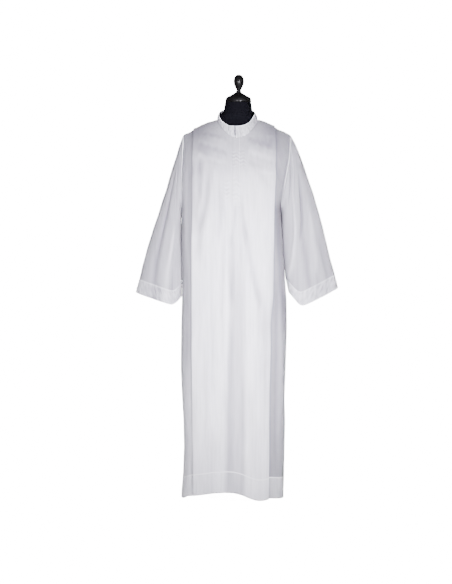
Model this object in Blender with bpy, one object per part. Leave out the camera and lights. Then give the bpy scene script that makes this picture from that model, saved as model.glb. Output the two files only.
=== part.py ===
"""A floor-length alb robe on a limbless dress form, as separate cut pieces of cloth and a stand.

Metres, +Z up. The robe's front faces -Y and +X is on the right of someone who looks at the front.
The stand's flat underside is on the floor, and its centre is the origin.
"""
import math

import bmesh
import bpy
from mathutils import Vector

for old in list(bpy.data.objects):
    bpy.data.objects.remove(old, do_unlink=True)

# ---- cloth -------------------------------------------------------------------------------------
WALL = 0.0016            # the cloth's wall
COLLAR_WALL = 0.0024     # two layers and an interlining
SEAM = 0.0006            # each side of a seam stands back this far
CENTRE = -0.0115         # centre front line, where the zip's slit is
ROUND = 3.0              # exponent of the body's plan: 2 is an ellipse, more is squarer
SHOULDER_DROP = 0.140    # height over which a panel slopes to its shoulder seam
SLOPE_FOOT = 2.2         # exponent at the slope's foot: more is a later, softer start
SLOPE_TOP = 1.35         # exponent at the seam: 1 is a ridge, 2 is round
UNDERARM = 1.165         # height of the underarm point
ARM_INSET = 0.012        # the armhole edge stands this far inside the body's full width
PLEAT_UNDER = 0.030      # how far a pleat goes under
PLACKET = (-0.0225, 0.0090)      # the two edges of the fly strip, x
PLACKET_ROW = 0.8350     # the row of the front where the fly strip ends
SLIT_HALF = 0.0008       # half of the zip's slit
SLIT_END = 1.190         # the slit's lower end

# a row for each height: height, left side, right side, front depth, back depth
BODY = (
    (-0.050, -0.230, 0.184, 0.150, 0.146),
    (0.030, -0.227, 0.184, 0.149, 0.145),
    (0.100, -0.221, 0.186, 0.148, 0.144),
    (0.210, -0.217, 0.188, 0.147, 0.143),
    (0.310, -0.219, 0.190, 0.145, 0.141),
    (0.400, -0.224, 0.187, 0.143, 0.139),
    (0.520, -0.229, 0.191, 0.141, 0.137),
    (0.690, -0.227, 0.196, 0.139, 0.135),
    (0.800, -0.224, 0.194, 0.137, 0.133),
    (0.900, -0.224, 0.187, 0.135, 0.131),
    (1.000, -0.225, 0.180, 0.133, 0.129),
    (1.165, -0.226, 0.171, 0.131, 0.125),
    (1.250, -0.223, 0.176, 0.128, 0.122),
    (1.310, -0.219, 0.186, 0.123, 0.119),
    (1.350, -0.216, 0.195, 0.116, 0.115),
    (1.400, -0.216, 0.202, 0.106, 0.110),
    (1.450, -0.214, 0.204, 0.096, 0.102),
    (1.530, -0.213, 0.204, 0.090, 0.092),
)
# a row for each height: height, left pleat's fold, right pleat's fold, gap from layer to layer
PLEAT = (
    (-0.050, -0.180, 0.120, 0.0046),
    (0.200, -0.182, 0.121, 0.0046),
    (0.450, -0.184, 0.119, 0.0046),
    (0.600, -0.185, 0.124, 0.0045),
    (0.715, -0.185, 0.130, 0.0044),
    (0.820, -0.184, 0.136, 0.0043),
    (0.990, -0.181, 0.142, 0.0041),
    (1.170, -0.178, 0.144, 0.0038),
    (1.280, -0.177, 0.147, 0.0036),
    (1.430, -0.175, 0.145, 0.0034),
    (1.530, -0.172, 0.143, 0.0034),
)
# a row for each point along the shoulders: x, height of the front's roll, height of the back's roll
SHOULDER = (
    (-0.222, 1.450, 1.450),
    (-0.213, 1.457, 1.457),
    (-0.193, 1.465, 1.465),
    (-0.182, 1.470, 1.470),
    (-0.163, 1.478, 1.478),
    (-0.146, 1.486, 1.486),
    (-0.124, 1.496, 1.496),
    (-0.092, 1.505, 1.505),
    (-0.078, 1.509, 1.510),
    (-0.040, 1.511, 1.541),
    (-0.0115, 1.509, 1.548),
    (0.030, 1.511, 1.541),
    (0.073, 1.509, 1.510),
    (0.095, 1.504, 1.504),
    (0.123, 1.493, 1.493),
    (0.143, 1.484, 1.484),
    (0.153, 1.479, 1.479),
    (0.179, 1.469, 1.469),
    (0.204, 1.456, 1.456),
    (0.214, 1.448, 1.448),
)
# a row for each point along the front hem: x, height
FRONT_HEM = (
    (-0.230, 0.020), (-0.182, 0.026), (-0.131, 0.034), (-0.091, 0.042), (-0.015, 0.042),
    (0.007, 0.030), (0.035, 0.016), (0.066, 0.011), (0.102, 0.009), (0.121, 0.020), (0.190, 0.012),
)
BACK_HEM = (
    (-0.230, 0.020), (-0.120, 0.014), (0.000, 0.012), (0.110, 0.010), (0.190, 0.012),
)
# the neck opening: centre x, half width, depth to the front, depth to the back
NECK = (-0.0020, 0.0790, 0.0850, 0.0620)
# a row for each large fold of the front: top x, top z, bottom x, bottom z, half width, depth
FRONT_FOLDS = (
    (-0.028, 1.080, -0.036, 0.250, 0.034, 0.0075),
    (-0.036, 0.250, -0.010, 0.010, 0.030, 0.0075),
    (-0.010, 1.110, 0.066, 0.860, 0.016, 0.0050),
    (0.066, 0.860, 0.094, 0.700, 0.018, 0.0045),
    (-0.135, 1.250, -0.150, 1.060, 0.018, 0.0050),
)
BACK_FOLDS = (
    (-0.085, 1.180, -0.105, 0.010, 0.034, 0.0090),
    (0.050, 1.220, 0.066, 0.010, 0.034, 0.0090),
    (-0.012, 0.820, -0.022, 0.010, 0.026, 0.0055),
)
# rows up a panel, as shares of the way to the shoulder's roll, and then shares of the roll
RISE = (0.0, 0.068, 0.14, 0.22, 0.31, 0.40, 0.49, 0.58, 0.66, 0.74, 0.80, 0.835, 0.8713, 0.91, 1.0)
ROLL = (0.14, 0.30, 0.48, 0.66, 0.83, 1.0)


def read(table, key, column):
    """A table's value at a key, eased between its rows."""
    if key <= table[0][0]:
        return table[0][column]
    for low, high in zip(table, table[1:]):
        if key <= high[0]:
            share = (key - low[0]) / (high[0] - low[0])
            return low[column] + (high[column] - low[column]) * share
    return table[-1][column]


def arm_margin(z):
    """How far the armhole edge is inside the body's full width."""
    if z <= UNDERARM:
        return 0.0
    rise = min(1.0, (z - UNDERARM) / 0.13)
    return ARM_INSET * math.sin(rise * math.pi / 2.0)


def fold_depth(folds, x, z):
    """The troughs of a panel, added up at one place."""
    total = 0.0
    for x1, z1, x2, z2, half, depth in folds:
        share = (z1 - z) / (z1 - z2)
        if -0.15 < share < 1.15:
            along = min(1.0, max(0.0, share))
            ends = min(1.0, (share + 0.15) / 0.25, (1.15 - share) / 0.15)
            away = (x - (x1 + (x2 - x1) * along)) / half
            total += depth * max(0.0, ends) * math.exp(-away * away)
    return total


def slope_point(side, x, turn):
    """Depth and height on the shoulder slope; turn is 0 at its foot, a right angle at the seam."""
    top = read(SHOULDER, x, 1 if side < 0 else 2)
    rise = min(1.0, math.sin(turn))
    z = top - SHOULDER_DROP + SHOULDER_DROP * rise
    depth = body_depth(side, x, z, 3 if side < 0 else 4)
    return depth * (1.0 - rise ** SLOPE_FOOT) ** (1.0 / SLOPE_TOP), z


SLOPE_ENDS = {}


def slope_end(side, x):
    """Where a column of the panel ends: at the neck opening, or else at the shoulder seam."""
    key = (side, round(x, 6))
    if key not in SLOPE_ENDS:
        neck_x, half_width, to_front, to_back = NECK
        near = (x - neck_x) / half_width
        end = math.pi / 2.0
        if abs(near) < 1.0:
            reach = (to_front if side < 0 else to_back) * math.sqrt(1.0 - near * near)
            low, high = 0.0, math.pi / 2.0
            for _ in range(30):
                end = (low + high) / 2.0
                if slope_point(side, x, end)[0] > reach:
                    low = end
                else:
                    high = end
        SLOPE_ENDS[key] = end
    return SLOPE_ENDS[key]


def body_point(side, x, row):
    """A point of the front (side -1) or the back (side 1) at x, on a row of the panel."""
    if row <= 1.0:
        hem = read(FRONT_HEM if side < 0 else BACK_HEM, x, 1)
        start = read(SHOULDER, x, 1 if side < 0 else 2) - SHOULDER_DROP
        z = hem + (start - hem) * row
        y = body_depth(side, x, z, 3 if side < 0 else 4)
    else:
        y, z = slope_point(side, x, (row - 1.0) * slope_end(side, x))
    return Vector((x, side * (y + SEAM), z))


def body_depth(side, x, z, column):
    left = read(BODY, z, 1) - arm_margin(z)
    right = read(BODY, z, 2) + arm_margin(z)
    centre = (left + right) / 2.0
    share = min(1.0, abs(x - centre) / ((right - left) / 2.0))
    return read(BODY, z, column) * (1.0 - share ** ROUND) ** (1.0 / ROUND)


def body_normal(side, x, row):
    step = 0.002
    across = body_point(side, x + step, row) - body_point(side, x - step, row)
    low, high = max(0.0, row - 0.01), min(2.0, row + 0.01)
    up = body_point(side, x, high) - body_point(side, x, low)
    normal = across.cross(up)
    if side > 0:
        normal = -normal
    return normal.normalized()


def edge_x(side, column, row):
    """A side edge (column 1 left, 2 right) at a row: the side seam and then the armhole."""
    x = read(BODY, 1.0, column)
    for _ in range(6):
        z = body_point(side, x, row).z
        x = read(BODY, z, column)
    return x


def pleat_x(side, column, row):
    x = read(PLEAT, 1.0, column)
    for _ in range(4):
        z = body_point(side, x, row).z
        x = read(PLEAT, z, column)
    return x, read(PLEAT, z, 3)


SIDE_SHARES = (0.0, 0.30, 0.55, 0.74, 0.86, 0.94, 1.0)
ARC = (-50.0, 0.0, 50.0)
CENTRE_SHARES = (0.0, 0.16, 0.34, 0.55, 0.78)


def spread(x_from, x_edge, middle, share):
    """x between a pleat and the side, closer together where the panel turns back."""
    reach = abs(x_edge - middle)
    first = math.asin(min(1.0, abs(x_from - middle) / reach) ** (ROUND / 2.0))
    angle = first + (math.pi / 2.0 - first) * share
    return middle + math.copysign(reach, x_edge - middle) * math.sin(angle) ** (2.0 / ROUND)


def front_row(row):
    """One row of the front from the left edge to the right edge, through both pleats."""
    left = edge_x(-1, 1, row)
    right = edge_x(-1, 2, row)
    left_fold, gap = pleat_x(-1, 1, row)
    right_fold, _ = pleat_x(-1, 2, row)
    middle = (left + right) / 2.0
    plan = []
    for share in reversed(SIDE_SHARES):
        plan.append((spread(left_fold + PLEAT_UNDER, left, middle, share), 0.0))
    for angle in ARC:
        turn = math.radians(angle)
        plan.append((left_fold + PLEAT_UNDER + gap / 2.0 * math.cos(turn),
                     gap / 2.0 + gap / 2.0 * math.sin(turn)))
    plan += [(left_fold + PLEAT_UNDER, gap), (left_fold + 0.002, gap)]
    for angle in ARC:
        turn = math.radians(angle)
        plan.append((left_fold - gap / 2.0 * math.cos(turn),
                     1.5 * gap + gap / 2.0 * math.sin(turn)))
    for share in CENTRE_SHARES:
        start = left_fold + 0.002
        plan.append((start + (PLACKET[0] - start) * share, 2.0 * gap))
    plan += [(PLACKET[0], 2.0 * gap), (CENTRE - SLIT_HALF, 2.0 * gap)]
    split = len(plan)
    plan += [(CENTRE + SLIT_HALF, 2.0 * gap), (PLACKET[1], 2.0 * gap)]
    for share in reversed(CENTRE_SHARES):
        start = right_fold - 0.002
        plan.append((start + (PLACKET[1] - start) * share, 2.0 * gap))
    for angle in reversed(ARC):
        turn = math.radians(angle)
        plan.append((right_fold + gap / 2.0 * math.cos(turn),
                     1.5 * gap + gap / 2.0 * math.sin(turn)))
    plan += [(right_fold - 0.002, gap), (right_fold - PLEAT_UNDER, gap)]
    for angle in reversed(ARC):
        turn = math.radians(angle)
        plan.append((right_fold - PLEAT_UNDER - gap / 2.0 * math.cos(turn),
                     gap / 2.0 + gap / 2.0 * math.sin(turn)))
    for share in SIDE_SHARES:
        plan.append((spread(right_fold - PLEAT_UNDER, right, middle, share), 0.0))
    points = []
    for index, (x, out) in enumerate(plan):
        base = body_point(-1, x, row)
        if 0 < index < len(plan) - 1:
            base = base + body_normal(-1, x, row) * (out - fold_depth(FRONT_FOLDS, x, base.z))
        points.append(base)
    return points, split


def back_row(row):
    left = edge_x(1, 1, row)
    right = edge_x(1, 2, row)
    middle = (left + right) / 2.0
    shares = (0.0, 0.12, 0.24, 0.36, 0.48, 0.60, 0.72, 0.82, 0.90, 0.96, 1.0)
    xs = [spread(middle, left, middle, share) for share in reversed(shares)]
    xs += [spread(middle, right, middle, share) for share in shares[1:]]
    points = []
    for index, x in enumerate(xs):
        base = body_point(1, x, row)
        if 0 < index < len(xs) - 1:
            out = back_raise(x, row, base.z) - fold_depth(BACK_FOLDS, x, base.z)
            base = base + body_normal(1, x, row) * out
        points.append(base)
    return points


def back_raise(x, row, z):
    """The back rises at the shoulder seam to the top of the front's folded pleats."""
    rise = min(1.0, max(0.0, (row - 1.0) / 0.6))
    left = min(1.0, max(0.0, (x + 0.190) / 0.030))
    right = min(1.0, max(0.0, (0.160 - x) / 0.030))
    return 2.0 * read(PLEAT, z, 3) * rise * left * right


# ---- making solids -----------------------------------------------------------------------------
def material(name, colour, roughness, metallic=0.0):
    made = bpy.data.materials.get(name)
    if made is None:
        made = bpy.data.materials.new(name)
        made.use_nodes = True
        shader = made.node_tree.nodes["Principled BSDF"]
        shader.inputs["Base Color"].default_value = (*colour, 1.0)
        shader.inputs["Roughness"].default_value = roughness
        shader.inputs["Metallic"].default_value = metallic
        made.diffuse_color = (*colour, 1.0)
    return made


def finish(name, mesh_data, surface):
    mesh = bpy.data.meshes.new(name)
    bmesh.ops.recalc_face_normals(mesh_data, faces=mesh_data.faces)
    mesh_data.to_mesh(mesh)
    mesh_data.free()
    thing = bpy.data.objects.new(name, mesh)
    bpy.context.scene.collection.objects.link(thing)
    mesh.materials.append(surface)
    for face in mesh.polygons:
        face.use_smooth = True
    return thing


def cloth(name, rows, wall, surface, skip=None, ring=False):
    """A sheet through rows of points, thickened both ways to a closed wall."""
    sheet = bmesh.new()
    grid = [[sheet.verts.new(point) for point in row] for row in rows]
    width = len(grid[0])
    for j in range(len(grid) - 1):
        for i in range(width if ring else width - 1):
            if skip and skip(i, j):
                continue
            k = (i + 1) % width
            sheet.faces.new((grid[j][i], grid[j][k], grid[j + 1][k], grid[j + 1][i]))
    thing = finish(name, sheet, surface)
    thick = thing.modifiers.new("wall", "SOLIDIFY")
    thick.thickness = wall
    thick.offset = 0.0
    depsgraph = bpy.context.evaluated_depsgraph_get()
    solid = bpy.data.meshes.new_from_object(thing.evaluated_get(depsgraph))
    thing.modifiers.clear()
    thing.data = solid
    solid.name = name
    return thing


def turned(name, profile, surface, centre=(0.0, 0.0), steps=32):
    """A piece turned on a lathe from its profile of (radius, height), closed at both ends."""
    piece = bmesh.new()
    low = piece.verts.new((centre[0], centre[1], profile[0][1]))
    high = piece.verts.new((centre[0], centre[1], profile[-1][1]))
    rings = []
    for radius, z in profile:
        rings.append([piece.verts.new((centre[0] + radius * math.cos(2 * math.pi * k / steps),
                                       centre[1] + radius * math.sin(2 * math.pi * k / steps), z))
                      for k in range(steps)])
    for k in range(steps):
        n = (k + 1) % steps
        piece.faces.new((low, rings[0][n], rings[0][k]))
        piece.faces.new((high, rings[-1][k], rings[-1][n]))
        for below, above in zip(rings, rings[1:]):
            piece.faces.new((below[k], below[n], above[n], above[k]))
    return finish(name, piece, surface)


WHITE = material("white_poplin", (0.80, 0.80, 0.83), 0.8)
JERSEY = material("black_jersey", (0.012, 0.012, 0.018), 0.85)
LACQUER = material("black_lacquer", (0.010, 0.010, 0.012), 0.2)
METAL = material("grey_metal", (0.45, 0.45, 0.47), 0.3, 1.0)
STEEL = material("black_steel", (0.02, 0.02, 0.022), 0.4)
PALE = material("pale_paint", (0.75, 0.75, 0.75), 0.5)

# ---- front and back ----------------------------------------------------------------------------
LEVELS = list(RISE) + [1.0 + share for share in ROLL]
front_rows = []
split_at = 0
for level in LEVELS:
    points, split_at = front_row(level)
    front_rows.append(points)
slit_rows = {j for j, row in enumerate(front_rows) if row[split_at].z > SLIT_END}


def in_slit(i, j):
    return i == split_at - 1 and j in slit_rows


cloth("front", front_rows, WALL, WHITE, skip=in_slit)
cloth("back", [back_row(level) for level in LEVELS], WALL, WHITE)


# ---- collar ------------------------------------------------------------------------------------
# a row for each bearing from the centre front: bearing, rim's height
COLLAR = (
    (0.0, 1.4925),
    (17.0, 1.4930),
    (32.0, 1.4990),
    (50.0, 1.5120),
    (70.0, 1.5290),
    (90.0, 1.5420),
    (120.0, 1.5530),
    (150.0, 1.5590),
    (180.0, 1.5600),
)
RIM = (-0.0030, 0.0690, 0.0770, 0.0560)
COLLAR_START = -6.9      # the front slit's bearing
COLLAR_GAP = 0.9         # half the front slit, in degrees
COLLAR_STEPS = 28


def neck_edge(bearing):
    """The neck edge of the panels at a bearing from the centre front, right side positive."""
    neck_x, half_width = NECK[:2]
    x = neck_x + half_width * 0.9995 * math.sin(math.radians(bearing))
    side = -1 if abs(bearing) <= 90.0 else 1
    point = body_point(side, x, 2.0)
    return point + body_normal(side, x, 2.0) * (2.0 * read(PLEAT, point.z, 3))


def collar_rows():
    """The standing band: its lower edge just clear of the neck edge, its upper edge on the rim."""
    rows = []
    for height in (0.0, 0.3, 0.7, 1.0):
        row = []
        for k in range(COLLAR_STEPS + 1):
            bearing = COLLAR_START + COLLAR_GAP + (360.0 - 2.0 * COLLAR_GAP) * k / COLLAR_STEPS
            folded = bearing if bearing <= 180.0 else bearing - 360.0
            size = abs(folded)
            angle = math.radians(folded)
            inward = Vector((-math.sin(angle), math.cos(angle), 0.0))
            lower = neck_edge(folded) + inward * 0.0027 + Vector((0.0, 0.0, 0.0026))
            upper = Vector((RIM[0] + RIM[1] * math.sin(angle),
                            -(RIM[2] if size < 90 else RIM[3]) * math.cos(angle),
                            read(COLLAR, size, 1)))
            row.append(lower.lerp(upper, height))
        rows.append(row)
    return rows


cloth("collar", collar_rows(), COLLAR_WALL, WHITE)

# ---- placket -----------------------------------------------------------------------------------
PLACKET_CLEAR = 0.0004
placket_rows = []
for level, row in zip(LEVELS, front_rows):
    if level < PLACKET_ROW - 0.001:
        continue
    out = WALL + PLACKET_CLEAR
    line = []
    for i in range(split_at - 2, split_at + 2):
        line.append(row[i] + body_normal(-1, row[i].x, level) * out)
    placket_rows.append(line)
cloth("placket", placket_rows, WALL, WHITE)

# ---- sleeves -----------------------------------------------------------------------------------
# a row for each place down a sleeve: share, outer x, outer z, inner x, inner z, half depth, y
SLEEVE_LEFT = (
    (0.00, -0.215, 1.459, -0.232, 1.160, 0.066, 0.000),
    (0.07, -0.226, 1.428, -0.234, 1.120, 0.068, 0.000),
    (0.14, -0.243, 1.370, -0.235, 1.085, 0.068, 0.000),
    (0.22, -0.262, 1.317, -0.235, 1.050, 0.067, 0.000),
    (0.32, -0.284, 1.247, -0.235, 1.010, 0.066, 0.000),
    (0.42, -0.306, 1.185, -0.236, 0.970, 0.065, -0.002),
    (0.52, -0.327, 1.122, -0.236, 0.935, 0.064, -0.004),
    (0.62, -0.349, 1.055, -0.237, 0.905, 0.063, -0.006),
    (0.72, -0.369, 0.990, -0.237, 0.880, 0.062, -0.008),
    (0.82, -0.381, 0.935, -0.238, 0.857, 0.061, -0.010),
    (0.91, -0.394, 0.880, -0.239, 0.836, 0.060, -0.012),
    (1.00, -0.408, 0.828, -0.241, 0.812, 0.060, -0.014),
)
SLEEVE_RIGHT = (
    (0.00, 0.206, 1.458, 0.178, 1.160, 0.066, 0.000),
    (0.07, 0.224, 1.428, 0.182, 1.125, 0.068, 0.000),
    (0.14, 0.241, 1.388, 0.186, 1.092, 0.068, 0.000),
    (0.22, 0.259, 1.340, 0.190, 1.058, 0.067, 0.000),
    (0.32, 0.281, 1.277, 0.193, 1.018, 0.066, 0.000),
    (0.42, 0.302, 1.216, 0.196, 0.980, 0.065, -0.002),
    (0.52, 0.322, 1.148, 0.199, 0.944, 0.064, -0.004),
    (0.62, 0.342, 1.076, 0.202, 0.912, 0.063, -0.006),
    (0.72, 0.358, 1.008, 0.206, 0.882, 0.062, -0.008),
    (0.82, 0.370, 0.955, 0.213, 0.850, 0.061, -0.010),
    (0.91, 0.386, 0.900, 0.226, 0.815, 0.060, -0.012),
    (1.00, 0.400, 0.846, 0.240, 0.779, 0.060, -0.014),
)
# a row for each trough: share at its top, share at its end, place round the sleeve at the top and
# at the end in degrees from the outer edge (front positive), half width in degrees, depth
TROUGHS_LEFT = (
    (0.12, 1.00, 78.0, 118.0, 13.0, 0.010),
    (0.45, 1.00, 52.0, 66.0, 10.0, 0.006),
    (0.15, 1.00, -85.0, -70.0, 14.0, 0.010),
    (0.40, 1.00, -118.0, -125.0, 12.0, 0.007),
)
TROUGHS_RIGHT = (
    (0.02, 1.00, 60.0, 112.0, 13.0, 0.010),
    (0.20, 1.00, 96.0, 134.0, 11.0, 0.007),
    (0.40, 1.00, 50.0, 74.0, 10.0, 0.006),
    (0.15, 1.00, -85.0, -70.0, 14.0, 0.010),
    (0.40, 1.00, -118.0, -125.0, 12.0, 0.007),
)
SLEEVE_STEPS = 28
SLEEVE_STARTS = (0.0, 0.05, 0.10, 0.16, 0.23, 0.33, 0.44, 0.56, 0.68, 0.80, 0.90, 1.0)
CUFF_DROOP = 0.020


def armhole(column, angle):
    """The armhole edge of the panels: angle from the shoulder point, front positive."""
    side = -1 if angle >= 0.0 else 1
    top = read(SHOULDER, read(BODY, 1.45, column), 1)
    aim = UNDERARM + (top - UNDERARM) * (0.5 + 0.5 * math.cos(angle))
    low, high = 0.5, 2.0
    for _ in range(24):
        row = (low + high) / 2.0
        if body_point(side, edge_x(side, column, row), row).z < aim:
            low = row
        else:
            high = row
    return body_point(side, edge_x(side, column, row), row)


def sleeve_point(table, troughs, column, share, angle):
    outward = -1.0 if column == 1 else 1.0
    outer = Vector((read(table, share, 1), read(table, share, 6), read(table, share, 2)))
    inner = Vector((read(table, share, 3), read(table, share, 6), read(table, share, 4)))
    middle = (outer + inner) / 2.0
    reach = (outer - inner) / 2.0
    depth = read(table, share, 5)
    power = 0.60 + 0.25 * min(1.0, share / 0.25)
    squash = math.copysign(abs(math.sin(angle)) ** power, math.sin(angle))
    point = middle + reach * math.cos(angle) + Vector((0.0, -depth * squash, 0.0))
    out = Vector((reach.x * math.cos(angle) / max(1e-6, reach.length), -math.sin(angle),
                  reach.z * math.cos(angle) / max(1e-6, reach.length))).normalized()
    sink = 0.0
    for first, last, begin, end, half, deep in troughs:
        if share > first:
            along = (share - first) / (last - first)
            place = math.radians(begin + (end - begin) * along)
            away = (angle - place) / math.radians(half)
            sink += deep * min(1.0, along / 0.25) * math.exp(-away * away)
    point = point - out * sink
    droop = math.exp(-((math.degrees(abs(angle)) - 138.0) / 34.0) ** 2)
    point.z -= CUFF_DROOP * droop * max(0.0, (share - 0.6) / 0.4) ** 1.5
    start = armhole(column, angle)
    start = start + Vector((outward * (WALL + 0.0006), 0.0, 0.0))
    blend = min(1.0, share / 0.10)
    return start.lerp(point, blend)


def sleeve(name, table, troughs, column):
    rows = []
    for share in SLEEVE_STARTS:
        ring = []
        for k in range(SLEEVE_STEPS):
            angle = -math.pi + 2.0 * math.pi * (k + 0.5) / SLEEVE_STEPS
            ring.append(sleeve_point(table, troughs, column, share, angle))
        rows.append(ring)
    return cloth(name, rows, WALL, WHITE, ring=True)


sleeve("sleeve_left", SLEEVE_LEFT, TROUGHS_LEFT, 1)
sleeve("sleeve_right", SLEEVE_RIGHT, TROUGHS_RIGHT, 2)

# ---- dress form --------------------------------------------------------------------------------
# a row for each height: height, half width, half depth, centre x, centre y
TORSO = (
    (0.780, 0.140, 0.092, -0.004, 0.0),
    (0.786, 0.150, 0.100, -0.004, 0.0),
    (0.840, 0.160, 0.108, -0.004, 0.0),
    (0.930, 0.162, 0.108, -0.004, 0.0),
    (1.040, 0.150, 0.100, -0.004, 0.0),
    (1.150, 0.155, 0.104, -0.004, 0.0),
    (1.260, 0.163, 0.106, -0.004, 0.0),
    (1.340, 0.165, 0.098, -0.004, 0.0),
    (1.400, 0.164, 0.084, -0.004, 0.0),
    (1.435, 0.161, 0.070, -0.004, 0.0),
    (1.460, 0.153, 0.050, -0.004, 0.0),
    (1.474, 0.143, 0.038, -0.004, 0.0),
    (1.482, 0.128, 0.033, -0.003, 0.0),
    (1.489, 0.108, 0.031, -0.002, 0.0),
    (1.495, 0.088, 0.032, -0.001, 0.0),
    (1.502, 0.072, 0.037, 0.000, 0.0),
    (1.513, 0.062, 0.044, 0.000, 0.0),
    (1.528, 0.0575, 0.048, 0.000, 0.0),
    (1.545, 0.0535, 0.050, 0.000, 0.0),
    (1.560, 0.0508, 0.0500, 0.000, 0.0),
    (1.583, 0.0490, 0.0490, 0.000, 0.0),
)
TORSO_STEPS = 32
torso = bmesh.new()
torso_rings = []
for z, half_width, half_depth, x, y in TORSO:
    torso_rings.append([torso.verts.new((x + half_width * math.cos(2 * math.pi * k / TORSO_STEPS),
                                         y + half_depth * math.sin(2 * math.pi * k / TORSO_STEPS),
                                         z)) for k in range(TORSO_STEPS)])
torso.faces.new(torso_rings[0])
torso.faces.new(torso_rings[-1])
for below, above in zip(torso_rings, torso_rings[1:]):
    for k in range(TORSO_STEPS):
        n = (k + 1) % TORSO_STEPS
        torso.faces.new((below[k], below[n], above[n], above[k]))
finish("form_torso", torso, JERSEY)

turned("neck_cap", (
    (0.0480, 1.5834), (0.0490, 1.5850), (0.0488, 1.5890), (0.0465, 1.5950), (0.0420, 1.6000),
    (0.0330, 1.6050), (0.0240, 1.6100), (0.0170, 1.6150), (0.0130, 1.6190), (0.0090, 1.6215)),
    LACQUER, centre=(0.001, 0.0))
turned("finial_ring", (
    (0.0070, 1.6219), (0.0086, 1.6226), (0.0095, 1.6245), (0.0092, 1.6270), (0.0074, 1.6290),
    (0.0066, 1.6300)), METAL, centre=(0.003, 0.0), steps=24)
turned("finial", (
    (0.0062, 1.6304), (0.0070, 1.6330), (0.0100, 1.6400), (0.0138, 1.6480), (0.0160, 1.6560),
    (0.0166, 1.6640), (0.0156, 1.6730), (0.0126, 1.6815), (0.0080, 1.6870), (0.0030, 1.6893)),
    LACQUER, centre=(0.003, 0.0), steps=28)
turned("pole", ((0.0125, 0.0053), (0.0125, 0.7797)), STEEL, steps=24)
turned("base", ((0.119, 0.000), (0.120, 0.001), (0.120, 0.004), (0.119, 0.005)), PALE, steps=40)
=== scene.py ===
"""The looks of a white alb robe on a black dress form, laid out as an add-on that also runs as a script."""

import math

import bmesh
import bpy
import numpy as np
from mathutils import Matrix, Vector


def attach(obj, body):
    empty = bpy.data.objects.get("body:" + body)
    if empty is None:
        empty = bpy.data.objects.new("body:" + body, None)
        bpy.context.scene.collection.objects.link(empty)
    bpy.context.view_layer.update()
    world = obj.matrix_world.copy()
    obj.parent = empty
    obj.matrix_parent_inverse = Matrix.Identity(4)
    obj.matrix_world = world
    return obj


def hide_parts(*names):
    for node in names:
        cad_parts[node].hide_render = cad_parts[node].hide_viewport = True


bl_info = {
    "name": "Alb robe",
    "version": (1, 0, 0),
    "blender": (4, 5, 0),
    "location": "View3D > Sidebar > Alb",
    "description": "Builds the cloth, the dress form's finish and the studio round the packed frame",
    "category": "Object",
}

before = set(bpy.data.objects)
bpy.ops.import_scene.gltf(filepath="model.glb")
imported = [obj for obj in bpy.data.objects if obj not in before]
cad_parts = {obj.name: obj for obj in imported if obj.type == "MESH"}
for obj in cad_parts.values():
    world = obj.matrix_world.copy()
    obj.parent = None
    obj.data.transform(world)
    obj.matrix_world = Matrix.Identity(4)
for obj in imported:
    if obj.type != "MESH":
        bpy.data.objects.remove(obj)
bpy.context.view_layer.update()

# ---- the robe's own sizes, metres --------------------------------------------------------------
SEAM = 0.0002            # each side of a seam stands back this far
CENTRE = -0.0115         # centre front line
ROUND = 3.0              # exponent of the body's plan
DROP = 0.140             # height over which a panel slopes to its shoulder seam
SLOPE_FOOT = 2.2         # exponents of the slope's curve
SLOPE_TOP = 1.35
UNDERARM = 1.165
ARM_INSET = 0.012        # the side seams stand out by this much more, reached over ARM_RISE
ARM_RISE = 0.13
PLEAT_UNDER = 0.030      # how far a pleat goes under
SLIT_HALF = 0.0008       # half the width of the slit, and its foot
SLIT_END = 1.190
PLACKET_LEFT = -0.0225   # edges and foot of the fly strip
PLACKET_RIGHT = 0.0090
PLACKET_END = 1.172
CENTRE_HEM = 0.042       # height of the hem and of the slope's top at the centre front
CENTRE_TOP = 1.509
CUFF_DROOP = ((0.034, 0.81), (0.054, 0.76))   # how far each cuff drops, and where round it
FOLD_REACH = 0.001       # how far the flat cloth stays from a pleat's fold
FOLD_ARC = np.radians((-70.0, -45.0, -15.0, 15.0, 45.0, 70.0))
HEM_SINK = 0.0009        # how far a stitch line pulls the cloth in
STITCH_INSET = 0.002     # how far a hem's stitch line lies inside the turned edge
STITCH_WIDTH = 0.0017
# rows up the hang and up the slope, and columns from one side to the other
FRONT_ROWS = (196, 52)
BACK_ROWS = (150, 44)
SIDE_COLUMNS = 20
FLAT_COLUMNS = 45
BACK_COLUMNS = 62
SLEEVE_ROWS = ((0.0, 0.12, 26), (0.12, 0.86, 78), (0.86, 1.0, 30))   # from share, to share, rows
SLEEVE_COLUMNS = 168
COLLAR_ROWS = 22
COLLAR_COLUMNS = 220
PLACKET_ROWS = (66, 34)
PLACKET_COLUMNS = 26
TORSO_COLUMNS = 144

# a row for each height: height, left side, right side, front depth, back depth
BODY = np.array((
    (-0.050, -0.230, 0.184, 0.150, 0.146),
    (0.030, -0.227, 0.184, 0.149, 0.145),
    (0.100, -0.221, 0.186, 0.148, 0.144),
    (0.210, -0.217, 0.188, 0.147, 0.143),
    (0.310, -0.219, 0.190, 0.145, 0.141),
    (0.400, -0.224, 0.187, 0.143, 0.139),
    (0.520, -0.229, 0.191, 0.141, 0.137),
    (0.690, -0.227, 0.196, 0.139, 0.135),
    (0.800, -0.224, 0.194, 0.137, 0.133),
    (0.900, -0.224, 0.187, 0.135, 0.131),
    (1.000, -0.225, 0.180, 0.133, 0.129),
    (1.165, -0.226, 0.171, 0.131, 0.125),
    (1.250, -0.223, 0.176, 0.128, 0.122),
    (1.310, -0.219, 0.186, 0.123, 0.119),
    (1.350, -0.216, 0.195, 0.116, 0.115),
    (1.400, -0.216, 0.202, 0.106, 0.110),
    (1.450, -0.214, 0.204, 0.096, 0.102),
    (1.530, -0.213, 0.204, 0.090, 0.092),
))
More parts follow.
